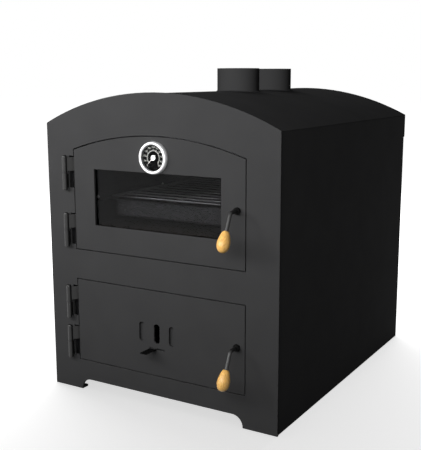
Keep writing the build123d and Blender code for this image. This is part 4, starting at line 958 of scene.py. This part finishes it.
# %% A tube round a closed line of points, as a mesh
def tube(name, places, radius, thickness=None):
    """The thickness, if any, turns the number of a point into its share of the radius."""
    line = bpy.data.curves.new(name, "CURVE")
    line.dimensions = "3D"
    line.bevel_depth = radius * MM
    line.bevel_resolution = 2
    spline = line.splines.new("POLY")
    spline.points.add(len(places) - 1)
    for number, (point, place) in enumerate(zip(spline.points, places)):
        point.co = (*(place * MM), 1.0)
        point.radius = thickness(number) if thickness else 1.0
    spline.use_cyclic_u = True
    piece = bpy.data.objects.new(name, line)
    bpy.context.scene.collection.objects.link(piece)
    pick(piece)
    bpy.ops.object.convert(target="MESH")
    edit_all(piece)
    merge_points(0.005)
    face_outwards()
    bpy.ops.object.shade_smooth()
    return bpy.context.object


# %% Four strands laid round the line
STRANDS = 4
STRAND_RADIUS = 2.05
LAY_WIDTH = 2.3
LAY_DEPTH = 6.2
LAY_LENGTH = 27.0
ROPE_DEPTH = 15.1
STEP = 1.9
INWARDS = Vector((0, 1, 0))


def rope_seal(deck):
    middle, length = even_steps(seal_line(deck), STEP)
    turns = round(length / LAY_LENGTH)
    strands = []
    for strand in range(STRANDS):
        places = []
        for number, place in enumerate(middle):
            before, after = middle[number - 1], middle[(number + 1) % len(middle)]
            aside = (after - before).normalized().cross(INWARDS)
            turn = math.tau * (turns * number / len(middle) + strand / STRANDS)
            offset = aside * math.cos(turn) * LAY_WIDTH + INWARDS * math.sin(turn) * LAY_DEPTH
            places.append(place + offset + INWARDS * (DOOR_FRONT + ROPE_DEPTH))
        strands.append(tube(f"{deck}_strand", places, STRAND_RADIUS))
    rope = join_pieces(f"{deck}_glass_rope", strands)
    dress(rope, f"{deck}_rope_seal")
    print("length", round(length), "turns", turns)


for deck in SEAL_ENDS:
    rope_seal(deck)

# %% [markdown]
# Bricks, board and wool
#
# Fire bricks chip, vermiculite board crumbles at its edges and mineral wool is never flat. A
# voxel remesh gives a copy of the part an even skin with soft corners, and then each point
# sinks in along its normal by a noise that is the same on every run. Points only move inwards,
# so nothing comes through a neighbour.

# %% Worn and fibrous copies, and the gasket of the window
BUMP_ROUGHNESS = 0.9
BUMP_STEP = 2.1
BUMP_LAYERS = 4
WEAR_MIDDLE = 0.5
WEAR_SWING = 0.9


def worn_copy(part, name, voxel, least, most, count, look=None):
    """Voxel size, least and most wear are in mm, and the count is how many bumps a metre has."""
    piece = merged_copy(part, name)
    apply_modifier(piece, "REMESH", mode="VOXEL", voxel_size=voxel * MM, adaptivity=0.0)
    normals = [point.normal.copy() for point in piece.data.vertices]
    for point, normal in zip(piece.data.vertices, normals):
        bump = noise.fractal(point.co * count, BUMP_ROUGHNESS, BUMP_STEP, BUMP_LAYERS)
        wear = min(max(WEAR_MIDDLE + WEAR_SWING * bump, 0.0), 1.0)
        point.co -= normal * (least + (most - least) * wear) * MM
    pick(piece)
    bpy.ops.object.shade_smooth()
    dress(piece, part, look=look)


worn_copy("oven_floor_bricks", "sooty_floor_tiles", 3.0, 0.1, 0.8, 60.0, look="dark_brick_tile")
worn_copy("firebox_bricks", "chipped_lining_bricks", 4.0, 0.1, 1.4, 45.0)
worn_copy("flame_baffle", "baffle_board", 4.0, 0.1, 1.2, 40.0)
for where in ("side", "roof", "rear", "base"):
    worn_copy(f"{where}_insulation", f"{where}_wool", 6.0, 0.6, 3.0, 30.0)
rounded_copy("glass_gasket", 0.6, segments=3)

# %% [markdown]
# Rack, drip tray and ash pan
#
# The rack is bright wire, resistance-welded where the wires cross, so each crossing gets a
# small squashed nugget. The tray and the pan are pressed sheet: a copy with rounded edges, and
# on the tray a rolled bead round the rim, which is a thin tube along a rounded rectangle.

# %% Rack with its weld nuggets
WIRE_PITCH = 36.5
WIRE_COUNT = 14
FIRST_WIRE = 2.2
CROSSINGS = ((-171.0, 462.0), (0.0, 460.6), (171.0, 462.0))
NUGGET = (3.2, 3.2, 1.5)
NUGGET_SINKS = 0.9
rack_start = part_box("oven_rack")[0].y
rack = merged_copy("oven_rack", "welded_rack")
nuggets = []
for row in range(WIRE_COUNT):
    wire = rack_start + (FIRST_WIRE + row * WIRE_PITCH) * MM
    for across, height in CROSSINGS:
        pick(camera)
        bpy.ops.mesh.primitive_ico_sphere_add(subdivisions=2, radius=MM)
        nugget = bpy.context.object
        nugget.location = (across * MM, wire, height * MM - NUGGET_SINKS * MM)
        nugget.scale = NUGGET
        nuggets.append(nugget)
rack = join_pieces("welded_rack", [rack, *nuggets])
settle(rack)
shade(rack, angle=40.0)
dress(rack, "oven_rack")

# %% Tray with a rolled rim, pan with soft edges
BEAD_RADIUS = 0.9
BEAD_HEIGHT = 455.5
BEAD_CORNER = 18.0
BEAD_STEPS = 10
tray_low, tray_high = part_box("drip_tray")
rounded_copy("drip_tray", 0.35)
middle_y = (tray_low.y + tray_high.y) / 2 / MM
half_x = (tray_high.x - tray_low.x) / 2 / MM - BEAD_CORNER
half_y = (tray_high.y - tray_low.y) / 2 / MM - BEAD_CORNER
rim = []
for quarter, (right, back) in enumerate(((1, 1), (-1, 1), (-1, -1), (1, -1))):
    start = quarter * math.pi / 2
    middle = (right * half_x, middle_y + back * half_y)
    corner = arc_points(middle, BEAD_CORNER, start, start + math.pi / 2, BEAD_STEPS)
    rim += [Vector((x, y, BEAD_HEIGHT)) for x, y in corner]
bead = tube("tray_rim_bead", rim, BEAD_RADIUS)
dress(bead, beside="drip_tray")
rounded_copy("ash_pan", 0.35)

# %% [markdown]
# Screws and bolts
#
# A fastener is turned on the lathe once, its cross recess is cut with a Boolean modifier, and
# it is then copied to every place, each copy with its own mesh. The places are not typed: the
# loose solids of the CAD part are separated for a moment and their boxes are measured.

# %% Boxes of the loose solids in a part
def loose_boxes(part):
    edit_all(merged_copy(part, "counted"))
    bpy.ops.mesh.separate(type="LOOSE")
    bpy.ops.object.mode_set(mode="OBJECT")
    solids = list(bpy.context.selected_objects)
    corners = [[vertex.co.copy() for vertex in solid.data.vertices] for solid in solids]
    boxes = [(min_corner(points), max_corner(points)) for points in corners]
    pick(*solids)
    bpy.ops.object.delete()
    return boxes


# %% A turned fastener, standing on the origin with its head up
SPARE_CUT = 1.0


def turned_fastener(name, outline, recess=None):
    """A recess is the length, width and depth of a slot, cut twice, and the height of its top."""
    piece = lathe(name, outline, (0, 0, 0), (0, 0, 1), (1, 0, 0), steps=32)
    if recess:
        length, width, depth, top = recess
        for turn in (0.0, math.pi / 2):
            pick(camera)
            middle = (0, 0, (top - depth / 2 + SPARE_CUT / 2) * MM)
            bpy.ops.mesh.primitive_cube_add(size=1.0, location=middle)
            cutter = bpy.context.object
            cutter.scale = (length * MM, width * MM, (depth + SPARE_CUT) * MM)
            cutter.rotation_euler = (0, 0, turn)
            settle(cutter)
            apply_modifier(piece, "BOOLEAN", operation="DIFFERENCE", object=cutter, solver="EXACT")
            pick(cutter)
            bpy.ops.object.delete()
    return piece


def placed_copy(model, place, axis, spin):
    piece = model.copy()
    piece.data = model.data.copy()
    bpy.context.scene.collection.objects.link(piece)
    upright = Vector((0, 0, 1)).rotation_difference(Vector(axis)).to_matrix().to_4x4()
    piece.data.transform(Matrix.Translation(place) @ upright @ Matrix.Rotation(spin, 4, "Z"))
    return piece


def fasten(name, model, part, place_and_axis, look=None):
    """Puts a copy of the model, turned by chance about its own axis, in every box of the part."""
    chance = random.Random(len(part))
    copies = []
    for low, high in loose_boxes(part):
        copies.append(placed_copy(model, *place_and_axis(low, high), chance.uniform(0, math.tau)))
    pick(model)
    bpy.ops.object.delete()
    whole = join_pieces(name, copies)
    shade(whole, angle=35.0)
    dress(whole, part, look=look)
    print("copies", len(copies))


# %% Screws on the rear panel
PAN_HEIGHT = 2.4
PAN_SCREW = (
    (0.0, 2.4), (1.9, 2.3), (3.2, 1.9), (4.0, 1.1), (4.2, 0.4), (4.2, 0.0), (2.1, 0.0), (1.8, -0.4),
    (2.1, -0.8), (1.8, -1.2), (2.1, -1.6), (1.8, -2.0), (1.8, -9.4), (0.9, -10.0), (0.0, -10.0),
)


def pan_screw_place(low, high):
    return Vector(((low.x + high.x) / 2, high.y - PAN_HEIGHT * MM, (low.z + high.z) / 2)), (0, 1, 0)


pan_screw = turned_fastener("pan_screw", PAN_SCREW, recess=(3.8, 0.8, 1.3, PAN_HEIGHT))
fasten("rear_cross_screws", pan_screw, "rear_panel_screws", pan_screw_place)

# %% Domed bolts of the rack rails
BOLT_LENGTH = 8.0
RAIL_BOLT = (
    (0.0, 3.0), (1.4, 2.9), (2.7, 2.3), (3.6, 1.3), (4.0, 0.3), (4.0, 0.0), (2.4, 0.0), (2.1, -0.4),
    (2.1, -7.6), (1.6, -8.0), (0.0, -8.0),
)


def rail_bolt_place(low, high):
    side = math.copysign(1, low.x)
    outer = max(abs(low.x), abs(high.x)) - BOLT_LENGTH * MM
    return Vector((side * outer, (low.y + high.y) / 2, (low.z + high.z) / 2)), (-side, 0, 0)


domed_bolt = turned_fastener("domed_bolt", RAIL_BOLT)
# The domed bolts wear near-white zinc, a painted glint in the dark oven.
fasten("domed_rail_bolts", domed_bolt, "rail_bolts", rail_bolt_place, look="zinc_with_painted_glint")

# %% [markdown]
# Weld beads
#
# The two collars are welded to the roof. A bead is a thin tube whose thickness swells and
# shrinks in even ripples, laid on the curve where the round collar meets the arched roof.

# %% Beads round the collars
ROOF_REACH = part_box("roof_sheet")[1].z / MM - ARCH_MIDDLE
RIPPLES = 96
RIPPLE_STEPS = 4
RIPPLE_DEPTH = 0.15
WELD_RADIUS = 1.9
WELD_ASIDE = 0.5
WELD_LIFT = 0.3


def ripple(number):
    return 1.0 - RIPPLE_DEPTH + RIPPLE_DEPTH * math.cos(math.tau * number / RIPPLE_STEPS)


for part in ("vent_pipe", "smoke_flue"):
    low, high = (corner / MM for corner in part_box(part))
    radius = (high.x - low.x) / 2 + WELD_ASIDE
    ring = arc_points((0.0, (low.y + high.y) / 2), radius, 0.0, math.tau, RIPPLES * RIPPLE_STEPS)[:-1]
    seam = [Vector((x, y, ARCH_MIDDLE + math.sqrt(ROOF_REACH**2 - x**2) + WELD_LIFT)) for x, y in ring]
    weld = tube(part + "_weld", seam, WELD_RADIUS, thickness=ripple)
    dress(weld, beside=part)

# %% [markdown]
# Lamps
#
# The doors are evenly lit from left to right and fade from top to bottom, and the roof and
# the side stay nearly black. That is a wide, low soft box in front of the doors at roof
# height: it grazes the roof, misses the side and loses strength towards the floor. A smaller
# key lamp further to the left gives the knobs their soft shadows to the right, and a weak one
# behind keeps the back from going black. Light linking says which lamp reaches which piece.
# The floor's soft shadow lies to the front and right: a long strip lamp behind on the left
# lights the floor alone. The two collars are brighter in the middle and on their left, so
# they have a lamp of their own in front of the oven. It casts no shadow, because the front
# collar would hide the rear one from it. A last weak lamp behind on the right lifts the far
# end of the side a little.

# %% Soft boxes
def soft_box(name, place, aim, width, height, power, only=(), never=()):
    """A rectangular lamp in metres and watts that is aimed at a point."""
    bpy.ops.object.light_add(type="AREA", location=place)
    lamp = bpy.context.object
    lamp.name = name
    lamp.rotation_mode = "QUATERNION"
    lamp.rotation_quaternion = (Vector(aim) - Vector(place)).to_track_quat("-Z", "Y")
    lamp.data.shape = "RECTANGLE"
    lamp.data.size, lamp.data.size_y = width, height
    lamp.data.energy = power
    lamp.visible_camera = False
    linked = bpy.data.collections.new(name + "_pieces")
    for pieces, state in ((only, "INCLUDE"), (never, "EXCLUDE")):
        for piece in pieces:
            linked.objects.link(piece)
            linked.collection_objects[-1].light_linking.link_state = state
    lamp.light_linking.receiver_collection = linked
    return lamp


pick(camera)
COLLAR_PIECES = ("vent_pipe_rounded", "smoke_flue_rounded", "vent_pipe_weld", "smoke_flue_weld")
collars = [bpy.data.objects[name] for name in COLLAR_PIECES]
soft_box("front_box", (-0.22, -1.26, 0.87), (-0.05, -0.35, 0.80), 1.9, 0.32, 17.5, never=[floor, *collars])
soft_box("key_box", (-2.3, -2.5, 1.2), (0.0, -0.35, 0.40), 0.5, 0.5, 11.0, never=[floor, *collars])
soft_box("back_box", (-1.6, 1.7, 2.1), (0.0, 0.0, 0.3), 1.4, 1.4, 30.0, never=[floor])
soft_box("floor_strip", (-1.45, 1.8, 1.8), (0.1, -0.1, 0.0), 5.2, 1.1, 118.0, only=[floor])
collar_box = soft_box("collar_box", (0.10, -1.90, 0.80), (0.0, 0.1, 0.72), 0.5, 0.3, 32.0, only=collars)
collar_box.data.use_shadow = False
side_panel = bpy.data.objects["right_side_panel_rounded"]
soft_box("side_box", (1.15, 1.1, 0.25), (0.3, 0.25, 0.2), 0.3, 0.3, 1.0, only=[side_panel])

# %% Sizes of the CAD frame and of the dressed object, and the end
low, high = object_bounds()
sizes = {
    "cad_low": list(cad_low), "cad_high": list(cad_high),
    "visual_low": list(low), "visual_high": list(high),
}
print("visual box", [round(v, 4) for v in (*low, *high)])
